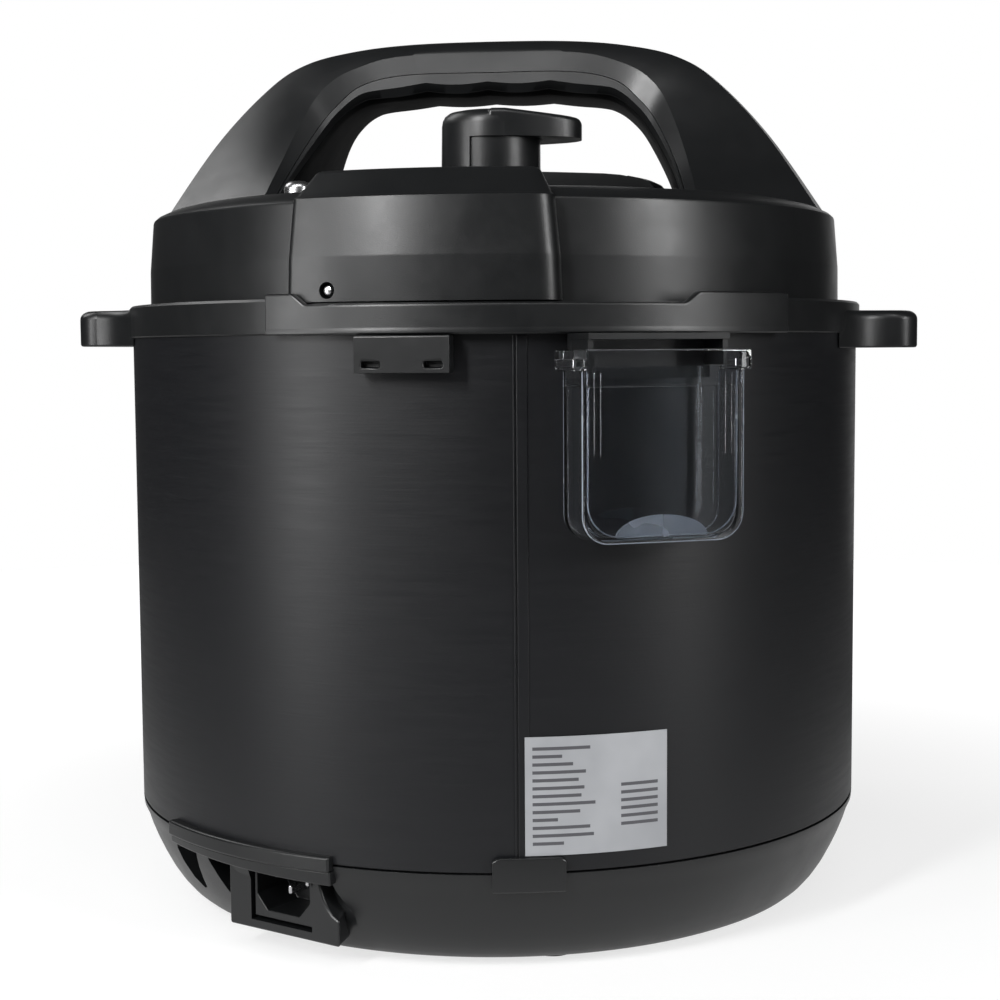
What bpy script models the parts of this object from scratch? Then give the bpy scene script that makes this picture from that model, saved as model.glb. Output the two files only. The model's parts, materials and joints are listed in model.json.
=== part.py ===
"""Electric pressure cooker: housing, inner pot, condensation cup and twist-lock lid.

Frame: +Z up, origin on the pot's axis at floor level. The side ears lie along X, the control
panel faces -Y and the power inlet, condensation cup and steam valve are at the rear, +Y.
A bearing is an angle in degrees from the rear (+Y), turning towards -X.
"""
import math

import bmesh
import bpy
from mathutils import Matrix, Vector

MM = 0.001
GAP = 0.35                    # air left between pieces that touch

# Driving sizes, in millimetres
BODY_R = 143.0                # steel shell
SHEET = 0.8
BASE_TOP = 37.5               # seam between the base and the shell
FLOOR_Z = 2.2                 # underside of the base
SHELL_TOP = 217.2
RIM_R = 144.2                 # rim collar
RIM_TOP = 228.5
RIM_BOTTOM = 216.5
RIM_INNER = 139.0
EAR_REACH = 163.5
EAR_HALF_WIDTH = 40.0
EAR_TOP = 227.3
EAR_BOTTOM = 212.5
OUTER_POT_R = 122.0
INNER_POT_R = 111.5
POT_FLOOR = 56.0
POT_RIM = 214.0
HEATER_R = 88.0
LID_R = 136.0                 # lid wall at its lower edge
LID_BOTTOM = 221.0
LID_SHOULDER = 261.0
LID_CROWN = 267.2
BLOCK_R = 144.4               # outer face of the steam valve housing
BLOCK_TOP = 271.5
LUGS = 8                      # bayonet lugs
LIFT_STEM = 3.0               # float valve stem radius

# Bearings of the features round the rear
SEAM_BEARING = 9.6
CLIP_BEARING = 10.2
LABEL_BEARING = 19.6
CUP_BEARING = 25.0
SLOT_BLOCK_BEARING = -5.4
FOOT_BEARING = 16.0
INLET_BEARING = -26.0
GUARD_START, GUARD_END = -25.0, 49.0
BLOCK_START, BLOCK_END = -21.8, 15.5
KNOB_XY = (-8.0, 77.5)
FLOAT_XY = (65.0, 67.0)


# ---------------------------------------------------------------- scene and materials
for old in list(bpy.data.objects):
    bpy.data.objects.remove(old, do_unlink=True)
PARTS = bpy.data.collections.new("pressure_cooker")
CUTTERS = bpy.data.collections.new("cutters")
bpy.context.scene.collection.children.link(PARTS)
bpy.context.scene.collection.children.link(CUTTERS)


def material(name, colour, roughness, metallic=0.0):
    made = bpy.data.materials.new(name)
    made.use_nodes = True
    shader = made.node_tree.nodes["Principled BSDF"]
    shader.inputs["Base Color"].default_value = (*colour, 1.0)
    shader.inputs["Roughness"].default_value = roughness
    shader.inputs["Metallic"].default_value = metallic
    return made


BLACK = (0.022, 0.024, 0.025)
LOOKS = {
    "black_plastic": (BLACK, 0.45, 0.0),
    "black_steel": ((0.02, 0.021, 0.023), 0.38, 0.0),
    "steel": ((0.62, 0.62, 0.63), 0.28, 1.0),
    "aluminium": ((0.72, 0.73, 0.74), 0.4, 1.0),
    "brass": ((0.75, 0.6, 0.3), 0.3, 1.0),
    "clear": ((0.85, 0.88, 0.92), 0.05, 0.0),
    "silicone": ((0.8, 0.8, 0.78), 0.6, 0.0),
    "rubber": ((0.03, 0.03, 0.03), 0.8, 0.0),
    "board": ((0.05, 0.25, 0.12), 0.5, 0.0),
    "label": ((0.7, 0.71, 0.72), 0.35, 0.6),
    "panel": ((0.03, 0.03, 0.035), 0.15, 0.0),
    "button": ((0.3, 0.31, 0.32), 0.4, 0.0),
}


def finish(obj, look, collection=PARTS):
    """Give the object its own material and put it in its collection."""
    colour, roughness, metallic = LOOKS[look]
    obj.data.materials.clear()
    obj.data.materials.append(material(obj.name, colour, roughness, metallic))
    collection.objects.link(obj)
    return obj


# ---------------------------------------------------------------- shape helpers
def mesh_object(name, bm, look):
    bmesh.ops.recalc_face_normals(bm, faces=bm.faces)
    mesh = bpy.data.meshes.new(name)
    bm.to_mesh(mesh)
    bm.free()
    mesh.shade_smooth()
    mesh.set_sharp_from_angle(angle=math.radians(35))
    return finish(bpy.data.objects.new(name, mesh), look)


def radial(bearing):
    """Outward unit vector at a bearing."""
    turn = math.radians(bearing)
    return Vector((-math.sin(turn), math.cos(turn), 0.0))


def at(bearing, radius, z):
    """Point in metres at a bearing, radius and height."""
    spot = radial(bearing) * radius
    return Vector((spot.x, spot.y, z)) * MM


def turned(name, profile, look, steps=40, centre=(0.0, 0.0, 0.0)):
    """Solid of revolution; the profile runs down the outside and back up the inside."""
    closed = profile[0][0] > 0 or profile[-1][0] > 0
    bm = bmesh.new()
    points = [bm.verts.new((x * MM, 0.0, z * MM)) for x, z in profile]
    pairs = list(zip(points, points[1:]))
    if closed:
        pairs.append((points[-1], points[0]))
    for first, second in pairs:
        bm.edges.new((first, second))
    mesh = bpy.data.meshes.new(name)
    bm.to_mesh(mesh)
    bm.free()
    obj = finish(bpy.data.objects.new(name, mesh), look)
    screw = obj.modifiers.new("turn", "SCREW")
    screw.steps = steps
    screw.render_steps = steps
    screw.use_merge_vertices = True
    screw.merge_threshold = 0.00001
    screw.use_smooth_shade = True
    obj.location = Vector(centre) * MM
    return obj


def box(name, size, centre, look, bevel=0.0):
    """Box with a size and centre in millimetres and optional rounded edges."""
    bm = bmesh.new()
    bmesh.ops.create_cube(bm, size=1.0)
    bmesh.ops.scale(bm, vec=Vector(size) * MM, verts=bm.verts)
    obj = mesh_object(name, bm, look)
    obj.location = Vector(centre) * MM
    if bevel:
        rounding = obj.modifiers.new("edges", "BEVEL")
        rounding.width = bevel * MM
        rounding.segments = 2
    return obj


def cylinder(name, radius, height, centre, look, segments=24):
    """Upright cylinder, centred on a point."""
    bm = bmesh.new()
    bmesh.ops.create_cone(bm, cap_ends=True, segments=segments, radius1=radius * MM,
                          radius2=radius * MM, depth=height * MM)
    obj = mesh_object(name, bm, look)
    obj.location = Vector(centre) * MM
    return obj


def slab(name, outline, bottom, top, look):
    """Flat outline, in millimetres, extruded upwards from bottom to top."""
    curve = bpy.data.curves.new(name, "CURVE")
    curve.dimensions = "2D"
    curve.fill_mode = "BOTH"
    curve.extrude = (top - bottom) / 2 * MM
    spline = curve.splines.new("POLY")
    spline.points.add(len(outline) - 1)
    for point, (x, y) in zip(spline.points, outline):
        point.co = (x * MM, y * MM, 0.0, 1.0)
    spline.use_cyclic_u = True
    guide = bpy.data.objects.new(name + "_outline", curve)
    bpy.context.scene.collection.objects.link(guide)
    bpy.context.view_layer.update()
    flat = guide.evaluated_get(bpy.context.evaluated_depsgraph_get())
    mesh = bpy.data.meshes.new_from_object(flat)
    bpy.data.objects.remove(guide, do_unlink=True)
    bm = bmesh.new()
    bm.from_mesh(mesh)
    bmesh.ops.remove_doubles(bm, verts=bm.verts, dist=0.00001)
    bmesh.ops.dissolve_limit(bm, angle_limit=math.radians(0.1), verts=bm.verts, edges=bm.edges)
    bmesh.ops.triangulate(bm, faces=[face for face in bm.faces if len(face.verts) > 4])
    obj = mesh_object(name, bm, look)
    obj.location = (0.0, 0.0, (top + bottom) / 2 * MM)
    return obj


def arc(radius, start, end, steps, centre=(0.0, 0.0)):
    """Points along an arc between two bearings."""
    points = []
    for index in range(steps + 1):
        way = radial(start + (end - start) * index / steps)
        points.append((centre[0] + way.x * radius, centre[1] + way.y * radius))
    return points


def sector(name, inner, outer, start, end, bottom, top, look, steps=12):
    """Piece of a ring between two bearings."""
    outline = arc(outer, start, end, steps) + arc(inner, end, start, steps)
    return slab(name, outline, bottom, top, look)


def ring_cut(inner, outer, bottom, top):
    """Profile of a plain ring for a turned piece."""
    return [(outer, top), (outer, bottom), (inner, bottom), (inner, top)]


def as_tool(obj):
    """Move a helper solid to the cutters."""
    for owner in list(obj.users_collection):
        owner.objects.unlink(obj)
    CUTTERS.objects.link(obj)
    obj.hide_render = True
    obj.display_type = "WIRE"
    return obj


def apply_tool(target, tool, operation):
    step = target.modifiers.new(operation.lower(), "BOOLEAN")
    step.operation = operation
    step.solver = "EXACT"
    step.object = as_tool(tool) if tool.name not in CUTTERS.objects else tool
    return target


def cut(target, *tools):
    for tool in tools:
        apply_tool(target, tool, "DIFFERENCE")
    return target


def join(target, *tools):
    for tool in tools:
        apply_tool(target, tool, "UNION")
    return target


def local_box(name, size, offset, bearing, look="black_plastic", bevel=0.0):
    """Box turned to a bearing; offset is (along the tangent, outwards, up)."""
    obj = box(name, size, (0, 0, 0), look, bevel)
    turn = Matrix.Rotation(math.radians(bearing), 4, "Z")
    obj.location = turn @ (Vector(offset) * MM)
    obj.rotation_euler = (0.0, 0.0, math.radians(bearing))
    return obj


def loft(name, rings, look):
    """Closed skin over a row of rings of points, in millimetres."""
    bm = bmesh.new()
    rows = [[bm.verts.new(Vector(point) * MM) for point in ring] for ring in rings]
    for first, second in zip(rows, rows[1:]):
        for index in range(len(first)):
            after = (index + 1) % len(first)
            bm.faces.new((first[index], first[after], second[after], second[index]))
    bm.faces.new(rows[0])
    bm.faces.new(list(reversed(rows[-1])))
    return mesh_object(name, bm, look)



# ---------------------------------------------------------------- housing
def base_shell():
    """Moulded base: a tapering bowl with a flat floor and the inlet's housing."""
    wall = 2.6
    flank = [(BODY_R, BASE_TOP), (141.2, 31.5), (138.6, 24.0), (135.0, 15.5),
             (131.0, 8.0), (126.5, 3.2), (120.0, FLOOR_Z)]
    floor = [(20.0, FLOOR_Z), (20.0, FLOOR_Z + wall), (118.0, FLOOR_Z + wall)]
    inside = [(radius - wall, z + 1.2) for radius, z in flank[-2:0:-2]]
    lip = [(BODY_R - wall, BASE_TOP)]
    base = turned("base_shell", flank + floor + inside + lip, "black_plastic", 64)
    tilt = INLET_BEARING
    join(base, local_box("inlet_block", (54, 40, 26), (-1, 119, 22), tilt))
    cut(base, local_box("inlet_inside", (34, 34, 22), (2, 112, 21), tilt))
    cut(base, local_box("inlet_mouth", (28, 16, 20.6), (2, 134, 21), tilt))
    scoop = cylinder("scoop", 11, 40, (0, 0, 0), "black_plastic", 3)
    scoop.location = at(-40.0, 139, 14)
    scoop.rotation_euler = (math.radians(-14), 0, math.radians(-40))
    cut(base, scoop)
    scoop = cylinder("scoop_outer", 9, 34, (0, 0, 0), "black_plastic", 3)
    scoop.location = at(-51.0, 140, 16)
    scoop.rotation_euler = (math.radians(-14), 0, math.radians(-51))
    cut(base, scoop)
    return base


def body_shell():
    """Rolled sheet steel wall with a lapped seam."""
    wall = ring_cut(BODY_R - SHEET, BODY_R, BASE_TOP + GAP, SHELL_TOP)
    shell = turned("body_shell", wall, "black_steel", 64)
    half = 0.9
    seam = sector("seam", BODY_R - 0.4, BODY_R + 0.35, SEAM_BEARING - half,
                  SEAM_BEARING + half, 44, 203, "black_steel", 2)
    return join(shell, seam)


def rear_clip():
    """Tab that bridges the seam between the shell and the base."""
    return sector("rear_clip", BODY_R + GAP, BODY_R + 2.1, CLIP_BEARING - 4.9,
                  CLIP_BEARING + 4.9, 31.5, 43.2, "black_plastic", 6)


def inlet_visor():
    """Ledge over the inlet recess."""
    return sector("inlet_visor", BODY_R + GAP, BODY_R + 3.2, -54.0, -18.0, 32.0, 38.5,
                  "black_plastic", 18)


def rim_collar():
    """Upper ring that carries the lid, with an ear at each side."""
    section = [(RIM_R, RIM_TOP), (RIM_R, RIM_BOTTOM), (141.6, RIM_BOTTOM), (141.6, 208.0),
               (127.0, 208.0), (127.0, 210.5), (RIM_INNER, 210.5), (RIM_INNER, RIM_TOP)]
    collar = turned("rim_collar", section, "black_plastic", 64)
    cut(collar, sector("block_path", RIM_INNER - 2, RIM_R + 5, -24.5, 48.5, 226.6, 232,
                       "black_plastic", 12))
    well_bottom, well_top = 210.5, 240.0
    for side in (-1, 1):
        join(collar, ear(side))
        cut(collar, box(f"slot_{side}", (5.2, 34.0, 40.0), (side * 151.0, 0, 220),
                        "black_plastic"))
    cut(collar, cylinder("lid_well", RIM_INNER, well_top - well_bottom,
                         (0, 0, (well_top + well_bottom) / 2), "black_plastic", 64))
    cut(collar, turned("shell_groove", ring_cut(141.2, BODY_R + 0.5, 205.0, 217.6), "black_plastic",
                       64))
    return collar


def ear(side):
    """Carrying handle at one side of the collar, wider where it meets the ring."""
    reach, half = EAR_REACH, EAR_HALF_WIDTH
    corner = 9.0
    outline = [(134.0, -half - 14.5), (138.4, -half - 8), (143.6, -half - 3), (151.0, -half)]
    for step in range(5):
        turn = math.radians(-90 + 90 * step / 4)
        outline.append((reach - corner + corner * math.cos(turn),
                        -half + corner + corner * math.sin(turn)))
    outline += [(x, -y) for x, y in reversed(outline)]
    if side < 0:
        outline = [(-x, y) for x, y in reversed(outline)]
    made = slab(f"ear_{side}", outline, EAR_BOTTOM, EAR_TOP, "black_plastic")
    rounding = made.modifiers.new("edges", "BEVEL")
    rounding.width = 2.4 * MM
    rounding.segments = 2
    rounding.limit_method = "ANGLE"
    rounding.angle_limit = math.radians(60)
    return made


def rear_rim_guard():
    """Bumped-out length of the rim that catches drips, higher at both ends."""
    inner, outer = RIM_R + GAP, RIM_R + 3.6
    low, high = 226.3, 230.0
    guard = sector("rear_rim_guard", inner, outer, GUARD_START, GUARD_END, RIM_BOTTOM, high,
                   "black_plastic", 36)
    notch = sector("guard_notch", inner - 3, outer + 3, -19.0, 33.4, low, high + 4,
                   "black_plastic", 24)
    return cut(guard, notch)


def slotted_block():
    """Accessory socket under the rim, with two slots in its front."""
    block = local_box("slotted_block", (31.8, 6.4, 12.2), (0, 147.6, 209.9),
                      SLOT_BLOCK_BEARING, bevel=0.5)
    for side in (-1, 1):
        cut(block, local_box(f"block_slot_{side}", (6.2, 8.0, 2.2), (side * 10.6, 152.0, 206.4),
                             SLOT_BLOCK_BEARING))
    return block


def cup_bracket():
    """Hanger under the rim: a back plate, a roof and two out-turned rails."""
    bracket = local_box("cup_bracket", (49, 3.0, 14.5), (0, 145.6, 208.9), CUP_BEARING)
    join(bracket, local_box("roof", (49, 18.0, 2.0), (0, 153.5, 215.2), CUP_BEARING))
    for side in (-1, 1):
        join(bracket, local_box(f"web_{side}", (1.8, 17.0, 9.0), (side * 23.4, 153.0, 210.4),
                                CUP_BEARING))
        join(bracket, local_box(f"rail_{side}", (5.6, 16.0, 1.4), (side * 25.8, 153.2, 206.6),
                                CUP_BEARING))
    return bracket


def label_plate():
    return sector("label_plate", BODY_R + 0.75, BODY_R + 1.15, LABEL_BEARING - 9.9,
                  LABEL_BEARING + 9.9, 44.0, 83.5, "label", 12)


def outer_pot():
    """Cooking chamber that holds the inner pot, with bayonet lugs round its flange."""
    wall = 1.2
    inner = OUTER_POT_R - wall
    profile = [(OUTER_POT_R, 219.0), (OUTER_POT_R, 42.0), (26.0, 42.0), (26.0, 43.2),
               (inner, 43.2), (inner, 220.6), (130.0, 220.6), (130.0, 219.0)]
    pot = turned("outer_pot", list(reversed(profile)), "aluminium", 40)
    for index in range(LUGS):
        bearing = 360.0 / LUGS * (index + 0.5)
        cut(pot, sector(f"flange_gap_{index}", 124.5, 134.0, bearing - 12, bearing + 12,
                        217.0, 223.0, "aluminium", 2))
    return pot


def heating_plate():
    """Cast plate with a slightly raised crown and a hole for the sensor."""
    profile = [(HEATER_R - 2, 54.5), (HEATER_R, 52.5), (HEATER_R, 44.0), (17.0, 44.0),
               (17.0, 55.4), (60.0, 55.4)]
    return turned("heating_plate", profile, "aluminium", 40)


def temperature_sensor():
    return turned("temperature_sensor", [(0, 55.4), (12.0, 55.4), (12.6, 54.6), (12.6, 46.0),
                                         (11.4, 46.0), (11.4, 53.6), (0, 53.6)], "aluminium", 32)


def coil(name, radius, wire, bottom, top, turns, look, steps=8):
    """Helical spring as a tube along a computed helix."""
    curve = bpy.data.curves.new(name, "CURVE")
    curve.dimensions = "3D"
    curve.bevel_depth = wire * MM
    curve.bevel_resolution = 1
    curve.use_fill_caps = True
    spline = curve.splines.new("POLY")
    count = turns * steps
    spline.points.add(count)
    for index, point in enumerate(spline.points):
        turn = 2 * math.pi * index / steps
        z = bottom + (top - bottom) * index / count
        point.co = (radius * math.cos(turn) * MM, radius * math.sin(turn) * MM, z * MM, 1.0)
    return finish(bpy.data.objects.new(name, curve), look)


def sensor_spring():
    return coil("sensor_spring", 8.5, 0.6, 41.0, 52.6, 3, "steel")


def sensor_bracket():
    """Bracket under the chamber that carries the sensor's spring."""
    return turned("sensor_bracket", [(31.0, 41.6), (31.0, 40.0), (14.5, 40.0), (14.5, 37.0),
                                     (0, 37.0), (0, 38.6), (13.0, 38.6), (13.0, 41.6)],
                  "steel", 20)


def pressure_switch():
    body = box("pressure_switch", (26, 14, 14), (55, 0, 33.5), "black_plastic", 0.6)
    return join(body, cylinder("plunger", 3, 8, (55, 0, 40.5 - 3.0), "black_plastic", 16))


def thermal_fuse():
    body = cylinder("thermal_fuse", 3.0, 22, (0, 0, 0), "steel", 16)
    body.rotation_euler = (0, math.radians(90), 0)
    body.location = Vector((-52, 0, 38.4)) * MM
    return body


def power_board():
    board = box("power_board", (78, 52, 1.6), (-18, -62, 17), "board")
    join(board, box("relay", (18, 15, 15), (-38, -62, 24), "board"))
    join(board, box("transformer", (22, 20, 17), (2, -70, 25), "board"))
    return board


def control_board():
    return box("control_board", (92, 1.6, 84), (0, -129.0, 122), "board")


def power_inlet():
    """Three-pin appliance inlet: a socket shroud open to the rear."""
    inlet = local_box("power_inlet", (27.4, 20, 20.0), (2, 124.0, 21), INLET_BEARING)
    cut(inlet, local_box("socket", (22.0, 17.0, 14.5), (2, 127.8, 21), INLET_BEARING))
    return inlet


def inlet_pin(index):
    along = (-7.0, 0.0, 7.0)[index]
    z = (20.0, 23.0, 20.0)[index]
    return local_box(f"inlet_pin_{index + 1}", (2.0, 12.0, 4.0), (2 + along, 126.0, z),
                     INLET_BEARING, "brass")


def foot(index):
    spot = at(FOOT_BEARING + 90 * index, 110, 0) / MM
    return turned(f"foot_{index + 1}", [(0, 1.9), (8.5, 1.9), (8.2, 0.6), (7.4, 0.0), (0, 0)],
                  "rubber", 24, (spot.x, spot.y, 0))


def base_screw(index):
    spot = at(120 * index + 5, 84, 0) / MM
    screw = turned(f"base_screw_{index + 1}", [(0, 1.9), (3.6, 1.9), (3.2, 0.7), (0, 0.7)],
                   "steel", 16, (spot.x, spot.y, 0))
    return cut(screw, box(f"slot_{index}", (0.9, 4.6, 0.8), (spot.x, spot.y, 0.7), "steel"))


# ---------------------------------------------------------------- control panel
PANEL_Z = 128.0
PANEL_FRONT = 160.5
BUTTON_ROWS = ((-36, 150), (-36, 132), (-36, 114), (-36, 96),
               (36, 150), (36, 132), (36, 114), (36, 96))


def control_panel():
    """Bezel on the front of the shell with openings for the display and the buttons."""
    half, depth = 58.0, PANEL_FRONT
    outline = [(-half, -131.4), (-half, -150.0), (-half + 6, -depth), (half - 6, -depth),
               (half, -150.0), (half, -131.4)]
    back = arc(BODY_R + GAP, 180 + 23.8, 180 - 23.8, 16)
    panel = slab("control_panel", outline + back, 78.0, 178.0, "black_plastic")
    rounding = panel.modifiers.new("edges", "BEVEL")
    rounding.width = 2.0 * MM
    rounding.segments = 2
    rounding.limit_method = "ANGLE"
    rounding.angle_limit = math.radians(60)
    cut(panel, box("panel_recess", (104, 4.0, 92), (0, -PANEL_FRONT - 0.2, PANEL_Z),
                   "black_plastic"))
    for index, (x, z) in enumerate(BUTTON_ROWS):
        hole = cylinder(f"button_hole_{index}", 6.2, 12, (0, 0, 0), "black_plastic", 16)
        hole.rotation_euler = (math.radians(90), 0, 0)
        hole.location = Vector((x, 5.0 - PANEL_FRONT, z)) * MM
        cut(panel, hole)
    return panel


def display_window():
    window = box("display_window", (103.0, 1.4, 91.0), (0, 0.75 - PANEL_FRONT, PANEL_Z), "panel",
                 0.3)
    for index, (x, z) in enumerate(BUTTON_ROWS):
        hole = cylinder(f"window_hole_{index}", 6.2, 12, (0, 0, 0), "panel", 16)
        hole.rotation_euler = (math.radians(90), 0, 0)
        hole.location = Vector((x, 5.0 - PANEL_FRONT, z)) * MM
        cut(window, hole)
    return window


BUTTON_NAMES = ("button_soup", "button_rice", "button_meat", "button_keep_warm",
                "button_plus", "button_minus", "button_start", "button_cancel")


def panel_button(index):
    x, z = BUTTON_ROWS[index]
    button = cylinder(BUTTON_NAMES[index], 5.7, 8.0, (0, 0, 0), "button", 16)
    button.rotation_euler = (math.radians(90), 0, 0)
    button.location = Vector((x, 3.4 - PANEL_FRONT, z)) * MM
    return button


# ---------------------------------------------------------------- parts that lift out
def inner_pot():
    wall = 1.2
    profile = [(117.5, POT_RIM + 1.4), (117.5, POT_RIM), (INNER_POT_R, POT_RIM),
               (INNER_POT_R, POT_FLOOR + 8), (INNER_POT_R - 2.5, POT_FLOOR + 2.5),
               (INNER_POT_R - 8, POT_FLOOR), (0, POT_FLOOR), (0, POT_FLOOR + wall),
               (INNER_POT_R - 8.5, POT_FLOOR + wall), (INNER_POT_R - 3.4, POT_FLOOR + 3.4),
               (INNER_POT_R - wall, POT_FLOOR + 8.5), (INNER_POT_R - wall, POT_RIM + 1.4)]
    start = profile.index((0, POT_FLOOR + wall))
    return turned("inner_pot", profile[start:] + profile[:start], "steel", 40)


def condensation_cup():
    """Clear drip cup with grooves in its flanges for the bracket's rails."""
    width, floor, top = 56.4, 149.2, 211.0
    near, far = 145.6 + 3.0, 166.0
    middle, depth = (near + far) / 2, far - near
    height = top - floor
    cup = local_box("condensation_cup", (width, depth, height), (0, middle, (top + floor) / 2),
                    CUP_BEARING, "clear")
    rounding = cup.modifiers.new("corners", "BEVEL")
    rounding.width = 4.0 * MM
    rounding.segments = 2
    flange = local_box("cup_flange", (62.0, depth, 7.0), (0, middle, top - 3.5), CUP_BEARING,
                       "clear")
    join(cup, flange)
    cut(cup, local_box("cup_inside", (width - 9.4, depth - 3.6, height + 4),
                       (0, middle, (top + floor) / 2 + 4), CUP_BEARING, "clear"))
    cut(cup, local_box("rail_groove", (58.4, 17.6, 2.4), (0, 153.6, 206.7),
                       CUP_BEARING, "clear"))
    cut(cup, local_box("rail_entry", (49.6, 17.6, 8.0), (0, 153.6, 210.0),
                       CUP_BEARING, "clear"))
    return cup


# ---------------------------------------------------------------- lid
def lid_outline():
    """Top of the lid from its shoulder to its centre."""
    return [(134.0, LID_SHOULDER), (128.0, 264.2), (118.0, 266.2), (60.0, LID_CROWN)]


def lid_cover():
    wall = 2.4
    outside = [(0, LID_CROWN)] + list(reversed(lid_outline())) + [(135.3, 242.0),
                                                                 (LID_R, LID_BOTTOM)]
    inside = [(LID_R - wall, LID_BOTTOM), (132.9, 242.0), (131.4, LID_SHOULDER - 1.6)]
    inside += [(x - 1.6, z - wall) for x, z in lid_outline()[2:]] + [(0, LID_CROWN - wall)]
    cover = turned("lid_cover", outside + inside, "black_plastic", 64)
    cut(cover, cylinder("float_hole", 8.2, 20, (*FLOAT_XY, 268), "black_plastic", 20))
    cut(cover, cylinder("stem_hole", 9.4, 20, (*KNOB_XY, 270), "black_plastic", 20))
    return cover


def lid_clearance(name, skirt):
    """Space the lid fills, a hair larger, used to trim what stands on it."""
    grow = 0.4
    outline = [(0, LID_CROWN + grow)]
    outline += [(x + grow, z + grow) for x, z in reversed(lid_outline())]
    outline += skirt + [(0, 200.0)]
    return turned(name, outline, "black_plastic", 64)


def block_ring(z, front, inset):
    """Plan outline of the valve housing at a height, with rounded front corners."""
    back, corner = 27.0 + inset, 2.6
    left, right = BLOCK_START, BLOCK_END
    shift = math.degrees(inset / front)
    points = []
    front_arc = arc(front, left + corner + shift, right - corner - shift, 10)
    tips = [radial(left + shift) * front, radial(right - shift) * front]
    feet = [(tips[0].x - 1.2, tips[0].y - 8.0), (tips[1].x + 1.2, tips[1].y - 8.0)]
    for start, tip, end in ((feet[0], tips[0], front_arc[0]), (front_arc[-1], tips[1], feet[1])):
        for step in range(4):
            t = step / 3
            x = (1 - t) ** 2 * start[0] + 2 * t * (1 - t) * tip.x + t * t * end[0]
            y = (1 - t) ** 2 * start[1] + 2 * t * (1 - t) * tip.y + t * t * end[1]
            points.append((x, y, z))
        if start == feet[0]:
            points += [(x, y, z) for x, y in front_arc[1:-1]]
    points.append((tips[1].x + 4.0, back, z))
    points.append((tips[0].x - 6.0, back, z))
    return points


def valve_housing(trim):
    """Block over the rear of the lid that carries the steam valve knob."""
    heights = ((227.2, BLOCK_R, 0.0), (242.0, BLOCK_R - 0.2, 0.2),
               (LID_SHOULDER + 0.8, BLOCK_R - 2.0, 1.2), (BLOCK_TOP, 127.5, 7.5))
    block = loft("valve_housing", [block_ring(*level) for level in heights], "black_plastic")
    cut(block, trim)
    cut(block, cylinder("valve_bore", 9.4, 30, (*KNOB_XY, 272), "black_plastic", 20))
    stud = cylinder("stud_bore", 4.2, 30, (0, 0, 0), "black_plastic", 24)
    stud.rotation_euler = (math.radians(90), 0, math.radians(-16.3))
    stud.location = at(-16.3, BLOCK_R + 7, 231.5)
    return cut(block, stud)


def lid_stud():
    """Polished pin that shows in the valve housing's wall."""
    pin = cylinder("lid_stud", 2.6, 5.0, (0, 0, 0), "steel", 24)
    pin.rotation_euler = (math.radians(90), 0, math.radians(-16.3))
    pin.location = at(-16.3, BLOCK_R - 3.4, 231.5)
    return pin


def central_dome(trim):
    """Low puck in the middle of the lid, cut away beside the valve housing."""
    puck = turned("central_dome", [(0, 280.0), (45.0, 279.0), (64.0, 276.6), (69.5, 273.0),
                                   (69.5, 260.0), (0, 260.0)], "black_plastic", 40)
    cut(puck, trim)
    cut(puck, box("block_room", (140, 60, 30), (0, 55.5, 270), "black_plastic"))
    return puck


# The handle's outlines, from the middle of its top down to the foot of a leg: (x, height).
CROWN = ((0, 332.4), (32, 331.8), (55, 329.4), (74, 324.6), (89, 315.0), (110, 292.5),
         (134, 258.0))
EDGE = ((0, 328.0), (34, 327.2), (52, 322.8), (64, 315.0), (72, 304.0), (81, 282.0),
        (88, 258.0))
PARTING = ((0, 321.6), (32, 321.2), (50, 317.0), (60, 309.0), (67, 299.0), (75.5, 279.0),
           (81, 258.0))
UNDER = ((0, 310.6), (30, 310.2), (47, 307.6), (57, 301.0), (64, 291.0), (71.5, 276.0),
         (77, 258.0))
HALF_CROWN = (11.0, 11.5, 12.5, 14.0, 16.0, 22.0, 30.0)
HALF_EDGE = (19.0, 19.5, 20.5, 23.0, 28.0, 44.0, 70.0)


def smooth(values, parts=4):
    """Catmull-Rom points through a list of values."""
    padded = [values[0]] + list(values) + [values[-1]]
    points = []
    for index in range(len(values) - 1):
        a, b, c, d = padded[index:index + 4]
        for part in range(parts):
            t = part / parts
            points.append(0.5 * (2 * b + (c - a) * t + (2 * a - 5 * b + 4 * c - d) * t * t
                                 + (3 * b - a - 3 * c + d) * t ** 3))
    points.append(values[-1])
    return points


def smooth_line(line):
    return list(zip(smooth([x for x, _ in line]), smooth([z for _, z in line])))


def handle_rings(section):
    """Rings of a section, from the foot of one leg over the top to the other."""
    half = [section(index) for index in range(len(smooth(HALF_EDGE)))]
    left = [[(-x, y, z) for x, y, z in ring] for ring in half[:0:-1]]
    return left + half


def handle_top(trim):
    """Upper shell of the lid's handle: a crown between two sloping flanks."""
    crown, edge, parting = smooth_line(CROWN), smooth_line(EDGE), smooth_line(PARTING)
    crown_half, edge_half = smooth(HALF_CROWN), smooth(HALF_EDGE)

    def section(index):
        (cx, cz), (ex, ez), (px, pz) = crown[index], edge[index], parting[index]
        narrow, wide = crown_half[index], edge_half[index]
        inward = 0.6 + narrow * narrow / (2 * LID_R)
        side = [(cx, 0.0, cz), (cx - inward, narrow, cz - 0.8), (ex, wide, ez), (px, wide, pz)]
        return side + [(x, -y, z) for x, y, z in reversed(side[1:])]

    return cut(loft("handle_top", handle_rings(section), "black_plastic"), trim)


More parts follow.
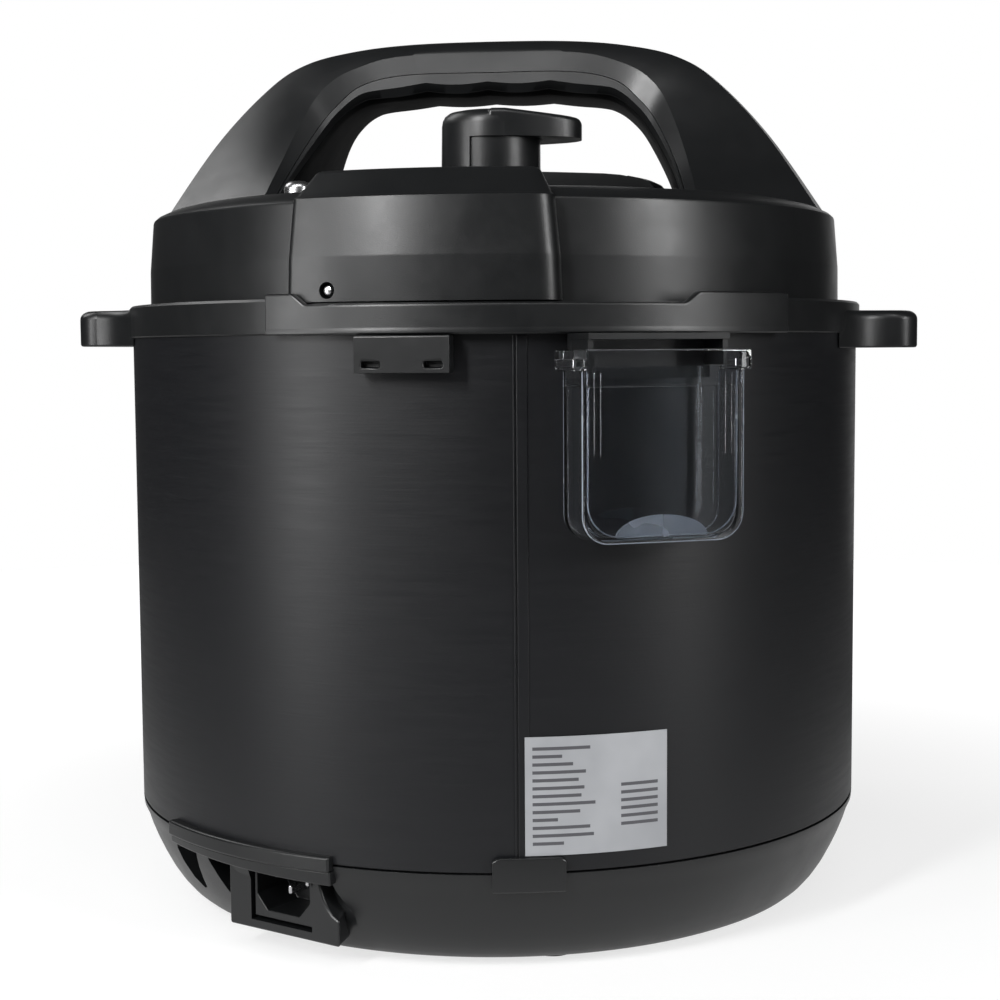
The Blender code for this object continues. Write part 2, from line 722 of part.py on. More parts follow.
def handle_grip(trim):
    """Lower shell of the handle, with four finger scallops under it."""
    parting, under = smooth_line(PARTING), smooth_line(UNDER)
    edge_half = smooth(HALF_EDGE)
    pitch, depth = 23.5, 1.2

    def section(index):
        (px, pz), (ux, uz) = parting[index], under[index]
        wide = edge_half[index]
        length = math.hypot(ux - px, uz - pz)
        x = px + (ux - px) * GAP / length
        z = pz + (uz - pz) * GAP / length
        if ux < 2 * pitch:
            uz -= depth * abs(math.sin(math.pi * ux / pitch))
        side = [(x, wide - 0.1, z), (ux, wide - 2.5, uz)]
        return side + [(a, -b, c) for a, b, c in reversed(side)]

    return cut(loft("handle_grip", handle_rings(section), "black_plastic"), trim)


def lid_plate():
    """Steel inner lid with a skirt and bayonet lugs."""
    profile = [(120.0, 236.0), (132.3, 232.0), (132.3, 214.0), (124.9, 214.0), (124.9, 215.6),
               (131.1, 215.6), (131.1, 230.6), (119.6, 234.6), (20.0, 236.6), (20.0, 238.0)]
    plate = turned("lid_plate", profile, "steel", 40)
    for index in range(LUGS):
        bearing = 360.0 / LUGS * (index + 0.5)
        cut(plate, sector(f"lug_gap_{index}", 120.0, 131.0, bearing - 11, bearing + 11,
                          212.0, 218.0, "steel", 2))
    cut(plate, cylinder("plate_float_hole", 4.6, 20, (*FLOAT_XY, 236), "steel", 24))
    cut(plate, cylinder("plate_stem_hole", 6.4, 20, (*KNOB_XY, 237), "steel", 24))
    return plate


def sealing_ring():
    profile = [(118.4, 229.5), (118.4, 216.0), (112.4, 216.0), (112.4, 218.2), (116.2, 218.2),
               (116.2, 224.6), (112.4, 226.0), (112.4, 229.5)]
    return turned("sealing_ring", profile, "silicone", 32)


def ring_rack():
    """Wire hoop that holds the sealing ring."""
    bm = bmesh.new()
    bmesh.ops.create_circle(bm, segments=6, radius=1.1 * MM)
    bmesh.ops.rotate(bm, matrix=Matrix.Rotation(math.radians(90), 3, "X"), verts=bm.verts)
    bmesh.ops.translate(bm, vec=Vector((114.4, 0, 221.2)) * MM, verts=bm.verts)
    mesh = bpy.data.meshes.new("ring_rack")
    bm.to_mesh(mesh)
    bm.free()
    rack = finish(bpy.data.objects.new("ring_rack", mesh), "steel")
    hoop = rack.modifiers.new("hoop", "SCREW")
    hoop.steps = 40
    hoop.render_steps = 40
    hoop.use_merge_vertices = True
    hoop.merge_threshold = 0.00001
    return rack


def anti_block_shield():
    """Domed steel cap under the exhaust."""
    x, y = KNOB_XY
    profile = [(0, 229.2), (12.0, 229.2), (14.0, 226.6), (14.0, 220.0), (13.0, 220.0),
               (13.0, 226.2), (11.6, 228.2), (0, 228.2)]
    return turned("anti_block_shield", profile, "steel", 20, (x, y, 0))


def exhaust_stem():
    """Brass pipe that carries steam from the inner lid up to the knob."""
    x, y = KNOB_XY
    bore = 2.0
    profile = [(4.0, 283.0), (4.0, 240.0), (5.8, 240.0), (5.8, 230.0), (bore, 230.0),
               (bore, 283.0)]
    return turned("exhaust_stem", profile, "steel", 24, (x, y, 0))


def steam_valve_knob():
    """Turning valve knob: a hollow drum with a lever reaching to one side."""
    x, y = KNOB_XY
    drum = turned("steam_valve_knob", [(0, 295.2), (14.5, 294.8), (17.4, 291.4), (18.0, 273.6),
                                       (4.6, 273.6), (4.6, 284.5), (0, 284.5)],
                  "black_plastic", 48)
    lever = [(0, -17.2), (-14, -14.5), (-26, -11.0), (-30.3, -8.5), (-31.8, -4.0), (-31.8, 4.0),
             (-30.3, 8.5), (-26, 11.0), (-14, 14.5), (0, 17.2)]
    arm = slab("lever", lever, 285.4, 294.6, "black_plastic")
    slope = box("slope", (44, 50, 8), (-28.0, 0, 296.2), "black_plastic")
    slope.rotation_euler = (0, math.radians(-7), 0)
    cut(arm, slope)
    join(drum, arm)
    drum.location = Vector((x, y, 0)) * MM
    for helper in (arm, slope):
        helper.location += Vector((x, y, 0)) * MM
    return drum


def float_valve():
    """Steel pin that pressure pushes up through the lid."""
    x, y = FLOAT_XY
    profile = [(0, 273.4), (4.4, 273.0), (6.0, 271.4), (6.0, 266.4), (LIFT_STEM, 266.4),
               (LIFT_STEM, 227.6), (0, 227.6)]
    return turned("float_valve", profile, "steel", 20, (x, y, 0))


def float_seal():
    """Silicone washer clipped on the pin under the inner lid."""
    x, y = FLOAT_XY
    stem = LIFT_STEM + 0.3
    return turned("float_seal", [(6.6, 229.9), (6.6, 227.9), (stem, 227.9), (stem, 229.9)],
                  "silicone", 20, (x, y, 0))


def lid_nut():
    """Nut that holds the inner lid up against the cover."""
    nut = cylinder("lid_nut", 9.0, 5.0, (0, 0, 232.6), "steel", 6)
    stem = cylinder("nut_stem", 5.0, 29.0, (0, 0, 249.5), "steel", 16)
    return join(nut, stem)


def lid_interlock_slider():
    """Sliding tongue in the rim that the lid drags along as it turns."""
    return sector("lid_interlock_slider", 137.0, 138.6, 172.0, 188.0, 211.2, 218.0,
                  "black_plastic", 6)


# ---------------------------------------------------------------- the assembly
def build_housing():
    base_shell()
    body_shell()
    rear_clip()
    inlet_visor()
    rim_collar()
    rear_rim_guard()
    slotted_block()
    cup_bracket()
    label_plate()
    outer_pot()
    heating_plate()
    temperature_sensor()
    sensor_bracket()
    sensor_spring()
    pressure_switch()
    thermal_fuse()
    power_board()
    control_board()
    power_inlet()
    for index in range(3):
        inlet_pin(index)
        base_screw(index)
    for index in range(4):
        foot(index)


def build_panel():
    control_panel()
    display_window()
    for index in range(len(BUTTON_NAMES)):
        panel_button(index)


def build_lid():
    wall = lid_clearance("lid_room", [(LID_R + 0.1, 242.0), (LID_R + 0.4, 200.0)])
    lid_cover()
    for part in (handle_top, handle_grip):
        below = [(170.0, LID_SHOULDER + 0.4), (170.0, 200.0)]
        part(lid_clearance(part.__name__ + "_room", below))
    valve_housing(wall)
    central_dome(wall)
    lid_stud()
    lid_plate()
    lid_nut()
    sealing_ring()
    ring_rack()
    anti_block_shield()
    exhaust_stem()
    steam_valve_knob()
    float_valve()
    float_seal()
    lid_interlock_slider()


build_housing()
build_panel()
inner_pot()
condensation_cup()
build_lid()
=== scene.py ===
"""Looks of the electric pressure cooker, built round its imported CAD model.

Frame: +Z up, metres, origin under the pot's axis. The rear, with the drip cup and the steam
valve, faces +Y. A bearing is an angle in degrees from +Y turning towards -X. Sizes in the
modelling code are millimetres, turned into metres by MM.
"""

import json
import math

import bmesh
import bpy
from mathutils import Matrix, Vector


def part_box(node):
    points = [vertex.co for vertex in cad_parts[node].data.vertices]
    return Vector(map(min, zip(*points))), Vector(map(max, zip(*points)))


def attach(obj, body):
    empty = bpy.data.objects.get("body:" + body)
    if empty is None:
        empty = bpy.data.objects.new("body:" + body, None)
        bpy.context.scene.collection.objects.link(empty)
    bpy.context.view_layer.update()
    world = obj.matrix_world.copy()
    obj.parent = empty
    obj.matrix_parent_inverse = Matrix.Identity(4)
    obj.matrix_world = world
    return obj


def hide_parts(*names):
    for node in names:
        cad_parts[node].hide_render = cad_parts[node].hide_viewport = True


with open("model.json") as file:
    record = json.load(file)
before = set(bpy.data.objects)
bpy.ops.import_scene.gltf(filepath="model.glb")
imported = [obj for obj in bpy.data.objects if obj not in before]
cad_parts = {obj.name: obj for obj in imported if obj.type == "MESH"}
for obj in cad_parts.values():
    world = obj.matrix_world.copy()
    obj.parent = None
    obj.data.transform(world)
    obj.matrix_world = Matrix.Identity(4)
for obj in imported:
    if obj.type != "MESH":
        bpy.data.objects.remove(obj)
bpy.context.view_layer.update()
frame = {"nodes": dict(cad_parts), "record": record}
MM = 0.001


# ---------------- sizes, from the frame
def low(node):
    return Vector(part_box(node)[0]) / MM


def high(node):
    return Vector(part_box(node)[1]) / MM


BODY_R = high("body_shell").x
SEAM_Z = high("base_shell").z
FLOOR_Z = low("base_shell").z
SHELL_TOP = high("body_shell").z
RIM_TOP = high("rim_collar").z
EAR_REACH = high("rim_collar").x
EAR_TOP, EAR_BOTTOM = 226.1, 212.2
EAR_LIFT = 1.2                # the left ear stands this much higher, the right lower
EAR_SHORTER = {1: 2.8, -1: 0.2}
RIM_R = 144.2
RIM_BOTTOM = 216.5
RIM_INNER = 139.0
GUARD_TOP = high("rear_rim_guard").z
GUARD_LOW = 226.3
LID_R = high("lid_cover").x
LID_BOTTOM = low("lid_cover").z
LID_CROWN = high("lid_cover").z
LID_SHOULDER = LID_CROWN - 6.2
BLOCK_TOP = high("valve_housing").z
BLOCK_R = 144.4
KNOB = (low("exhaust_stem") + high("exhaust_stem")) / 2
FLOAT = (low("float_valve") + high("float_valve")) / 2
PANEL_FRONT = -low("control_panel").y
POT_R = high("inner_pot").x
SEAM_BEARING = 9.6
CLIP_BEARING = 10.2
LABEL_BEARING = 19.6
CUP_BEARING = 25.0
SLOT_BLOCK_BEARING = -5.4
INLET_BEARING = -28.0
FAR_SCOOP_BEARING = -49.6
BLOCK_START, BLOCK_END = -22.6, 15.5
LID_CREASE = 242.0            # height where the lid wall starts to lean in
BUTTONS = [node for node in frame["nodes"] if node.startswith("button_")]
FINE = 192                    # steps round the large turned pieces


# ---------------- node materials
MIX_FIRST, MIX_SECOND = 6, 7  # the colour inputs of a mix node


def new_material(name):
    made = bpy.data.materials.new(name)
    made.use_nodes = True
    nodes = made.node_tree.nodes
    return made, nodes, made.node_tree.links, nodes["Principled BSDF"]


def add_noise(nodes, links, scale, detail=3.0, roughness=0.5, stretch=None):
    """Noise in object space; scale is features per metre."""
    place = nodes.new("ShaderNodeTexCoord")
    source = place.outputs["Object"]
    if stretch:
        mapping = nodes.new("ShaderNodeMapping")
        mapping.inputs["Scale"].default_value = stretch
        links.new(source, mapping.inputs["Vector"])
        source = mapping.outputs["Vector"]
    noise = nodes.new("ShaderNodeTexNoise")
    noise.inputs["Scale"].default_value = scale
    noise.inputs["Detail"].default_value = detail
    noise.inputs["Roughness"].default_value = roughness
    links.new(source, noise.inputs["Vector"])
    return noise.outputs["Fac"]


def spread(nodes, links, value, low_value, high_value):
    """Remap a noise value to a narrow range."""
    ramp = nodes.new("ShaderNodeMapRange")
    ramp.inputs["From Min"].default_value = 0.3
    ramp.inputs["From Max"].default_value = 0.7
    ramp.inputs["To Min"].default_value = low_value
    ramp.inputs["To Max"].default_value = high_value
    links.new(value, ramp.inputs["Value"])
    return ramp.outputs["Result"]


def soft_ramp(nodes, links, value, start, end, first, last):
    """Ease from one value to another between two positions."""
    ramp = nodes.new("ShaderNodeMapRange")
    ramp.interpolation_type = "SMOOTHSTEP"
    for name, number in (("From Min", start), ("From Max", end), ("To Min", first),
                         ("To Max", last)):
        ramp.inputs[name].default_value = number
    links.new(value, ramp.inputs["Value"])
    return ramp.outputs["Result"]


def by_camera(nodes, links, cast, seen):
    """Strength that differs between what the camera sees and the light cast."""
    path = nodes.new("ShaderNodeLightPath")
    mix = nodes.new("ShaderNodeMix")
    links.new(path.outputs["Is Camera Ray"], mix.inputs[0])
    links.new(cast, mix.inputs[2])
    if isinstance(seen, float):
        mix.inputs[3].default_value = seen
    else:
        links.new(seen, mix.inputs[3])
    return mix.outputs[0]


def add_bump(nodes, links, height, strength, distance, shader, under=None):
    bump = nodes.new("ShaderNodeBump")
    bump.inputs["Strength"].default_value = strength
    bump.inputs["Distance"].default_value = distance
    links.new(height, bump.inputs["Height"])
    if under:
        links.new(under, bump.inputs["Normal"])
    links.new(bump.outputs["Normal"], shader.inputs["Normal"])
    return bump.outputs["Normal"]


def blend(nodes, links, value, first, second):
    """Blend two colours, or a linked colour and a plain one, by a value."""
    mix = nodes.new("ShaderNodeMix")
    mix.data_type = "RGBA"
    for slot, colour in ((MIX_FIRST, first), (MIX_SECOND, second)):
        if isinstance(colour, tuple):
            mix.inputs[slot].default_value = (*colour, 1)
        else:
            links.new(colour, mix.inputs[slot])
    links.new(value, mix.inputs[0])
    return mix.outputs[2]


def tint(nodes, links, value, first, second, shader):
    """Blend two close colours by a noise value into the base colour."""
    links.new(blend(nodes, links, value, first, second), shader.inputs["Base Color"])


def moulded(name, dark, light, rough, grain=2600.0, strength=0.25, coat=0.0, specular=0.5):
    """Moulded plastic: fine spark-eroded grain, cloudy gloss and faint colour drift."""
    made, nodes, links, shader = new_material(name)
    cloud = add_noise(nodes, links, 22.0, 4.0, 0.6)
    tint(nodes, links, cloud, dark, light, shader)
    fine = add_noise(nodes, links, grain, 2.0, 0.55)
    smudge = add_noise(nodes, links, 60.0, 5.0, 0.65)
    links.new(spread(nodes, links, smudge, rough - 0.035, rough + 0.045),
              shader.inputs["Roughness"])
    add_bump(nodes, links, fine, strength, 0.00008, shader)
    shader.inputs["Specular IOR Level"].default_value = specular
    shader.inputs["Coat Weight"].default_value = coat
    return made


def painted_steel():
    """Satin powder coat over rolled sheet: very faint orange peel and level drift lines."""
    made, nodes, links, shader = new_material("shell_paint")
    cloud = add_noise(nodes, links, 9.0, 4.0, 0.6)
    tint(nodes, links, cloud, (0.0035, 0.0038, 0.0048), (0.0054, 0.0058, 0.0072), shader)
    drift = add_noise(nodes, links, 40.0, 4.0, 0.6, (1.0, 1.0, 14.0))
    links.new(spread(nodes, links, drift, 0.38, 0.44), shader.inputs["Roughness"])
    peel = add_noise(nodes, links, 900.0, 2.0, 0.5)
    lines = add_noise(nodes, links, 160.0, 2.0, 0.5, (0.4, 0.4, 8.0))
    first = add_bump(nodes, links, lines, 0.12, 0.0002, shader)
    add_bump(nodes, links, peel, 0.12, 0.0001, shader, first)
    shader.inputs["Specular IOR Level"].default_value = 0.4
    return made


def metal(name, colour, rough, stretch, strength=0.15, scale=700.0):
    """Metal with a brushed direction given by the stretch."""
    made, nodes, links, shader = new_material(name)
    shader.inputs["Metallic"].default_value = 1.0
    cloud = add_noise(nodes, links, 14.0, 3.0, 0.6)
    darker = tuple(part * 0.86 for part in colour)
    tint(nodes, links, cloud, darker, colour, shader)
    lines = add_noise(nodes, links, scale, 3.0, 0.6, stretch)
    links.new(spread(nodes, links, lines, rough - 0.06, rough + 0.08),
              shader.inputs["Roughness"])
    add_bump(nodes, links, lines, strength, 0.00006, shader)
    return made


def clear_plastic():
    """Clear polycarbonate with a faint blue cast and soft moulding ripples."""
    made, nodes, links, shader = new_material("clear_cup")
    shader.inputs["Base Color"].default_value = (0.93, 0.955, 0.985, 1)
    shader.inputs["Transmission Weight"].default_value = 1.0
    shader.inputs["IOR"].default_value = 1.5
    smear = add_noise(nodes, links, 45.0, 4.0, 0.6)
    links.new(spread(nodes, links, smear, 0.015, 0.06), shader.inputs["Roughness"])
    ripple = add_noise(nodes, links, 70.0, 2.0, 0.4)
    add_bump(nodes, links, ripple, 0.05, 0.0006, shader)
    return made


def painted_highlight_plastic():
    """Painted highlight for the cup: a lighter, part-clear material for its edge beads and floor dome,
    standing in for the light they catch.
    """
    made, nodes, links, shader = new_material("cup_painted_highlight")
    cloud = add_noise(nodes, links, 60.0, 2.0, 0.5)
    tint(nodes, links, cloud, (0.42, 0.47, 0.56), (0.52, 0.57, 0.65), shader)
    shader.inputs["Transmission Weight"].default_value = 0.6
    shader.inputs["IOR"].default_value = 1.5
    links.new(spread(nodes, links, cloud, 0.18, 0.32), shader.inputs["Roughness"])
    return made


def label_material():
    """Silver foil printed with plain bars in columns, with no lettering."""
    made, nodes, links, shader = new_material("label_foil")
    place = nodes.new("ShaderNodeUVMap")
    place.uv_map = "sheet"
    split = nodes.new("ShaderNodeSeparateXYZ")
    links.new(place.outputs["UV"], split.inputs["Vector"])

    def calc(operation, first, second=None, third=None):
        node = nodes.new("ShaderNodeMath")
        node.operation = operation
        for slot, value in enumerate((first, second, third)):
            if value is None:
                continue
            if isinstance(value, (int, float)):
                node.inputs[slot].default_value = value
            else:
                links.new(value, node.inputs[slot])
        return node.outputs[0]

    def between(value, least, most):
        return calc("MULTIPLY", calc("GREATER_THAN", value, least),
                    calc("LESS_THAN", value, most))

    u, v = split.outputs["X"], split.outputs["Y"]
    rows = 15.0
    row = calc("FLOOR", calc("MULTIPLY", v, rows))
    inside_row = calc("FRACT", calc("MULTIPLY", v, rows))
    bar = between(inside_row, 0.3, 0.72)
    chance = nodes.new("ShaderNodeTexWhiteNoise")
    chance.noise_dimensions = "1D"
    links.new(row, chance.inputs["W"])
    length = calc("MULTIPLY_ADD", chance.outputs["Value"], 0.28, 0.22)
    left = calc("MULTIPLY", calc("MULTIPLY", bar, between(u, 0.05, length)),
                between(v, 0.05, 0.93))
    right = calc("MULTIPLY", calc("MULTIPLY", bar, between(u, 0.66, 0.93)),
                 between(v, 0.2, 0.6))
    ink = calc("MAXIMUM", left, right)
    foil = add_noise(nodes, links, 30.0, 3.0, 0.6)
    shine = spread(nodes, links, foil, 0.0, 1.0)
    paper = blend(nodes, links, shine, (0.36, 0.37, 0.39), (0.45, 0.46, 0.48))
    tint(nodes, links, ink, paper, (0.1, 0.1, 0.11), shader)
    shader.inputs["Metallic"].default_value = 0.35
    links.new(spread(nodes, links, foil, 0.38, 0.5), shader.inputs["Roughness"])
    return made


LOOKS = {
    "black_plastic": moulded("black_plastic", (0.005, 0.0055, 0.006), (0.0075, 0.008, 0.0085),
                             0.34),
    "grip_plastic": moulded("grip_plastic", (0.005, 0.0055, 0.006), (0.0075, 0.008, 0.0085), 0.42),
    # Darker, less glossy copy of the grip plastic, for the grip's underside: painted shade.
    "grip_painted_shade": moulded("grip_painted_shade", (0.002, 0.0022, 0.0025), (0.003, 0.0032, 0.0035), 0.7,
                         specular=0.1),
    "shell_paint": painted_steel(),
    "steel": metal("steel", (0.62, 0.62, 0.63), 0.26, (1.0, 1.0, 12.0)),
    "aluminium": metal("aluminium", (0.72, 0.73, 0.74), 0.4, (1.0, 1.0, 6.0)),
    "brass": metal("brass", (0.78, 0.62, 0.34), 0.25, (1.0, 6.0, 1.0)),
    "silicone": moulded("silicone", (0.6, 0.6, 0.58), (0.7, 0.7, 0.68), 0.5, 900.0, 0.1),
    "foot_rubber": moulded("foot_rubber", (0.012, 0.012, 0.012), (0.02, 0.02, 0.02), 0.75),
    "circuit_board": moulded("circuit_board", (0.01, 0.09, 0.035), (0.02, 0.14, 0.055), 0.4),
    "button_plastic": moulded("button_plastic", (0.1, 0.105, 0.11), (0.13, 0.135, 0.14), 0.38),
    "panel_gloss": moulded("panel_gloss", (0.006, 0.006, 0.007), (0.009, 0.009, 0.01), 0.08,
                           400.0, 0.02, 0.5),
    "display": moulded("display", (0.02, 0.03, 0.035), (0.03, 0.042, 0.048), 0.12, 400.0, 0.02),
    "print": moulded("print", (0.55, 0.56, 0.57), (0.62, 0.63, 0.64), 0.5, 900.0, 0.05),
    "clear_cup": clear_plastic(),
    # Painted highlight: the lighter material of the cup's edge beads and floor dome.
    "cup_painted_highlight": painted_highlight_plastic(),
    "label_foil": label_material(),
}
BODY_OF_NODE = {node: body for body, nodes in frame["record"]["behaviour"]["bodies"].items()
                for node in nodes}


# ---------------- mesh helpers
def shade(obj, angle=32.0):
    obj.data.shade_smooth()
    obj.data.set_sharp_from_angle(angle=math.radians(angle))


def bevel(obj, width, segments=3, angle=30.0):
    """Round the hard edges; the weighted normals that keep the flats flat are added later, by weigh."""
    rounding = obj.modifiers.new("edges", "BEVEL")
    rounding.width = width * MM
    rounding.segments = segments
    rounding.limit_method = "ANGLE"
    rounding.angle_limit = math.radians(angle)
    rounding.miter_outer = "MITER_ARC"
    rounding.use_clamp_overlap = True
    return obj


def weigh(obj):
    even = obj.modifiers.new("normals", "WEIGHTED_NORMAL")
    even.keep_sharp = True
    return obj


def settle(obj):
    """Apply every modifier to the mesh."""
    bpy.context.view_layer.update()
    flat = obj.evaluated_get(bpy.context.evaluated_depsgraph_get())
    mesh = bpy.data.meshes.new_from_object(flat)
    obj.modifiers.clear()
    obj.data = mesh
    return obj


def boolean(obj, tool, operation="DIFFERENCE"):
    step = obj.modifiers.new("shape", "BOOLEAN")
    step.operation = operation
    step.solver = "EXACT"
    step.object = tool
    settle(obj)
    bpy.data.objects.remove(tool, do_unlink=True)
    return obj


def add_object(name, bm):
    bmesh.ops.recalc_face_normals(bm, faces=bm.faces)
    mesh = bpy.data.meshes.new(name)
    bm.to_mesh(mesh)
    bm.free()
    obj = bpy.data.objects.new(name, mesh)
    bpy.context.scene.collection.objects.link(obj)
    return obj


def radial(bearing):
    turn = math.radians(bearing)
    return Vector((-math.sin(turn), math.cos(turn), 0.0))


def loft(name, rings):
    """Skin over rows of points; each row is a closed loop, the ends are capped."""
    bm = bmesh.new()
    rows = [[bm.verts.new(Vector(point) * MM) for point in ring] for ring in rings]
    for first, second in zip(rows, rows[1:]):
        for index in range(len(first)):
            after = (index + 1) % len(first)
            bm.faces.new((first[index], first[after], second[after], second[index]))
    bm.faces.new(rows[0])
    bm.faces.new(list(reversed(rows[-1])))
    return add_object(name, bm)


def turned(name, profile, steps=FINE, centre=(0.0, 0.0)):
    """Solid of revolution of a closed profile of (radius, height); radius 0 makes a pole."""
    bm = bmesh.new()
    columns = []
    for radius, z in profile:
        if radius == 0:
            columns.append([bm.verts.new(Vector((centre[0], centre[1], z)) * MM)])
            continue
        column = []
        for step in range(steps):
            way = radial(360.0 * step / steps) * radius
            column.append(bm.verts.new(Vector((centre[0] + way.x, centre[1] + way.y, z)) * MM))
        columns.append(column)
    pairs = list(zip(columns, columns[1:]))
    if profile[0][0] > 0:
        pairs.append((columns[-1], columns[0]))
    for first, second in pairs:
        if len(first) == 1 and len(second) == 1:
            continue
        for step in range(steps):
            after = (step + 1) % steps
            corners = [first[step % len(first)], first[after % len(first)],
                       second[after % len(second)], second[step % len(second)]]
            bm.faces.new(list(dict.fromkeys(corners)))
    return add_object(name, bm)


def slab(name, outline, bottom, top):
    bm = bmesh.new()
    face = bm.faces.new([bm.verts.new(Vector((x, y, bottom)) * MM) for x, y in outline])
    made = bmesh.ops.extrude_face_region(bm, geom=[face])
    lifted = [part for part in made["geom"] if isinstance(part, bmesh.types.BMVert)]
    bmesh.ops.translate(bm, vec=Vector((0, 0, top - bottom)) * MM, verts=lifted)
    return add_object(name, bm)


def box(name, size, centre):
    bm = bmesh.new()
    bmesh.ops.create_cube(bm, size=1.0)
    bmesh.ops.scale(bm, vec=Vector(size) * MM, verts=bm.verts)
    bmesh.ops.translate(bm, vec=Vector(centre) * MM, verts=bm.verts)
    return add_object(name, bm)


def drum(name, radius, height, centre, steps=48, axis="Z"):
    bm = bmesh.new()
    bmesh.ops.create_cone(bm, cap_ends=True, segments=steps, radius1=radius * MM,
                          radius2=radius * MM, depth=height * MM)
    if axis == "Y":
        bmesh.ops.rotate(bm, matrix=Matrix.Rotation(math.pi / 2, 3, "X"), verts=bm.verts)
    bmesh.ops.translate(bm, vec=Vector(centre) * MM, verts=bm.verts)
    return add_object(name, bm)


def upright(name, outline, near, far):
    """Slab of a front outline of (along, height), between two distances from the axis."""
    piece = slab(name, outline, -far, -near)
    piece.data.transform(Matrix.Rotation(math.radians(90), 4, "X"))
    return piece


def swing(obj, bearing):
    """Turn a piece made at the rear (+Y) to its bearing."""
    obj.data.transform(Matrix.Rotation(math.radians(bearing), 4, "Z"))
    return obj


def arc(radius, start, end, steps):
    points = []
    for index in range(steps + 1):
        way = radial(start + (end - start) * index / steps)
        points.append((way.x * radius, way.y * radius))
    return points


def sector(name, inner, outer, start, end, bottom, top, steps=24):
    outline = arc(outer, start, end, steps) + arc(inner, end, start, steps)
    return slab(name, outline, bottom, top)


def dress(obj, look, *nodes, body=None, angle=32.0):
    """Shade, paint and hang a finished piece, standing for the CAD nodes it replaces."""
    shade(obj, angle)
    weigh(obj)
    obj.data.materials.clear()
    obj.data.materials.append(LOOKS[look])
    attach(obj, body or BODY_OF_NODE[nodes[0]])
    if nodes:
        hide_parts(*nodes)
    return obj


# ---------------- shell, base and rim
def make_shell():
    """Sheet steel wall with a lapped seam: a raised hem beside a fine groove."""
    wall = 0.8
    shell = turned("steel_shell", [(BODY_R, SHELL_TOP), (BODY_R, SEAM_Z + 1.0),
                                   (BODY_R - 0.4, SEAM_Z + 0.35), (BODY_R - wall, SEAM_Z + 0.35),
                                   (BODY_R - wall, SHELL_TOP)])
    dress(shell, "shell_paint", "body_shell")
    for name, proud, start, end, steps, edge, segments in (
            ("shell_hem", 0.35, -0.75, 0.75, 6, 0.28, 3),
            ("shell_hem_edge", 0.5, -1.2, -0.95, 2, 0.15, 2)):
        strip = sector(name, BODY_R - 0.3, BODY_R + proud, SEAM_BEARING + start,
                       SEAM_BEARING + end, SEAM_Z + 5.0, SHELL_TOP - 1.4, steps)
        bevel(strip, edge, segments)
        dress(strip, "shell_paint", body="housing")


def base_flank():
    return [(BODY_R, SEAM_Z - 0.3), (BODY_R - 0.15, SEAM_Z - 2.2), (141.6, 32.6), (140.2, 28.2),
            (138.4, 23.6), (136.1, 18.6), (133.3, 13.2), (130.3, 8.6), (127.6, 5.4),
            (125.2, 3.4), (122.6, FLOOR_Z)]


def make_base():
    """Moulded base with pockets beside the inlet's housing and its curved fin."""
    inside = [(20.0, FLOOR_Z), (20.0, 5.0), (112.0, 5.0), (118.0, 12.0), (122.0, SEAM_Z - 0.3)]
    base = turned("base", base_flank() + inside, 144)
    left, right, floor, roof = 21.2, -28.9, 8.8, 34.0
    fin = [(-19.3, roof), (-20.2, 28.6), (-21.6, 25.0), (-23.4, 21.9), (-25.8, 19.4),
           (right, 17.9)]
    beside_fin = [(-17.0, 36.0), (-24.0, 36.0), (-26.6, 27.0), (-30.0, 20.5), (-30.6, 16.6),
                  (-17.0, 16.6)]
    beside_left = [(20.0, 36.0), (34.6, 36.0), (33.4, 29.0), (29.6, 22.0), (25.6, 15.4),
                   (22.6, 12.4), (20.0, 12.4)]
    far_scoop = [(-12.0, 32.0), (3.0, 32.0), (6.0, 28.0), (5.0, 22.5), (1.4, 17.0), (-4.0, 14.0),
                 (-6.5, 15.0), (-9.0, 24.0)]
    pockets = ((INLET_BEARING, beside_fin, 132.5), (INLET_BEARING, beside_left, 127.0),
               (FAR_SCOOP_BEARING, far_scoop, 127.0))
    for bearing, outline, depth in pockets:
        boolean(base, swing(upright("pocket", outline, depth, 150.0), bearing))
    housing = upright("inlet_housing", [(left, floor), (left, roof)] + fin + [(right, floor)],
                      112.0, 139.0)
    boolean(housing, slab("side_cut", [(right, 139.5), (-45.0, 139.5), (-45.0, 110.0),
                                       (right + 11.6, 110.0)], 4.0, 40.0))
    bevel(housing, 0.9, 3, 50)
    settle(housing)
    boolean(base, swing(housing, INLET_BEARING), "UNION")
    recess = upright("inlet_recess", [(11.0, 12.0), (11.0, 36.0), (-16.7, 36.0), (-16.7, 12.0)],
                     116.0, 145.0)
    boolean(base, swing(recess, INLET_BEARING))
    bevel(base, 0.6, 2, 40)
    dress(base, "black_plastic", "base_shell")


def make_visor():
    """Lipped ledge over the inlet, rising a little towards its right end."""
    start, end = -49.6, -17.0
    rings, lips = [], []
    for step in range(41):
        t = step / 40
        way = radial(start + (end - start) * t)
        top = SEAM_Z + 3.2 + 0.3 * t
        middle = SEAM_Z - 2.3 + 0.4 * t
        bottom = SEAM_Z - 5.2 - 1.6 * t
        rings.append([(way.x * radius, way.y * radius, z) for radius, z in
                      ((BODY_R - 1.0, top), (BODY_R + 3.0, top), (BODY_R + 3.2, middle),
                       (BODY_R - 1.0, middle))])
        lips.append([(way.x * radius, way.y * radius, z) for radius, z in
                     ((BODY_R - 6.0, middle + 0.1), (BODY_R + 2.2, middle + 0.1),
                      (BODY_R + 1.8, bottom), (BODY_R - 6.0, bottom))])
    visor = loft("visor", rings)
    bevel(visor, 0.8, 3)
    dress(visor, "black_plastic", "inlet_visor")
    lip = loft("visor_lip", lips)
    bevel(lip, 0.5, 2)
    dress(lip, "black_plastic", body="housing")


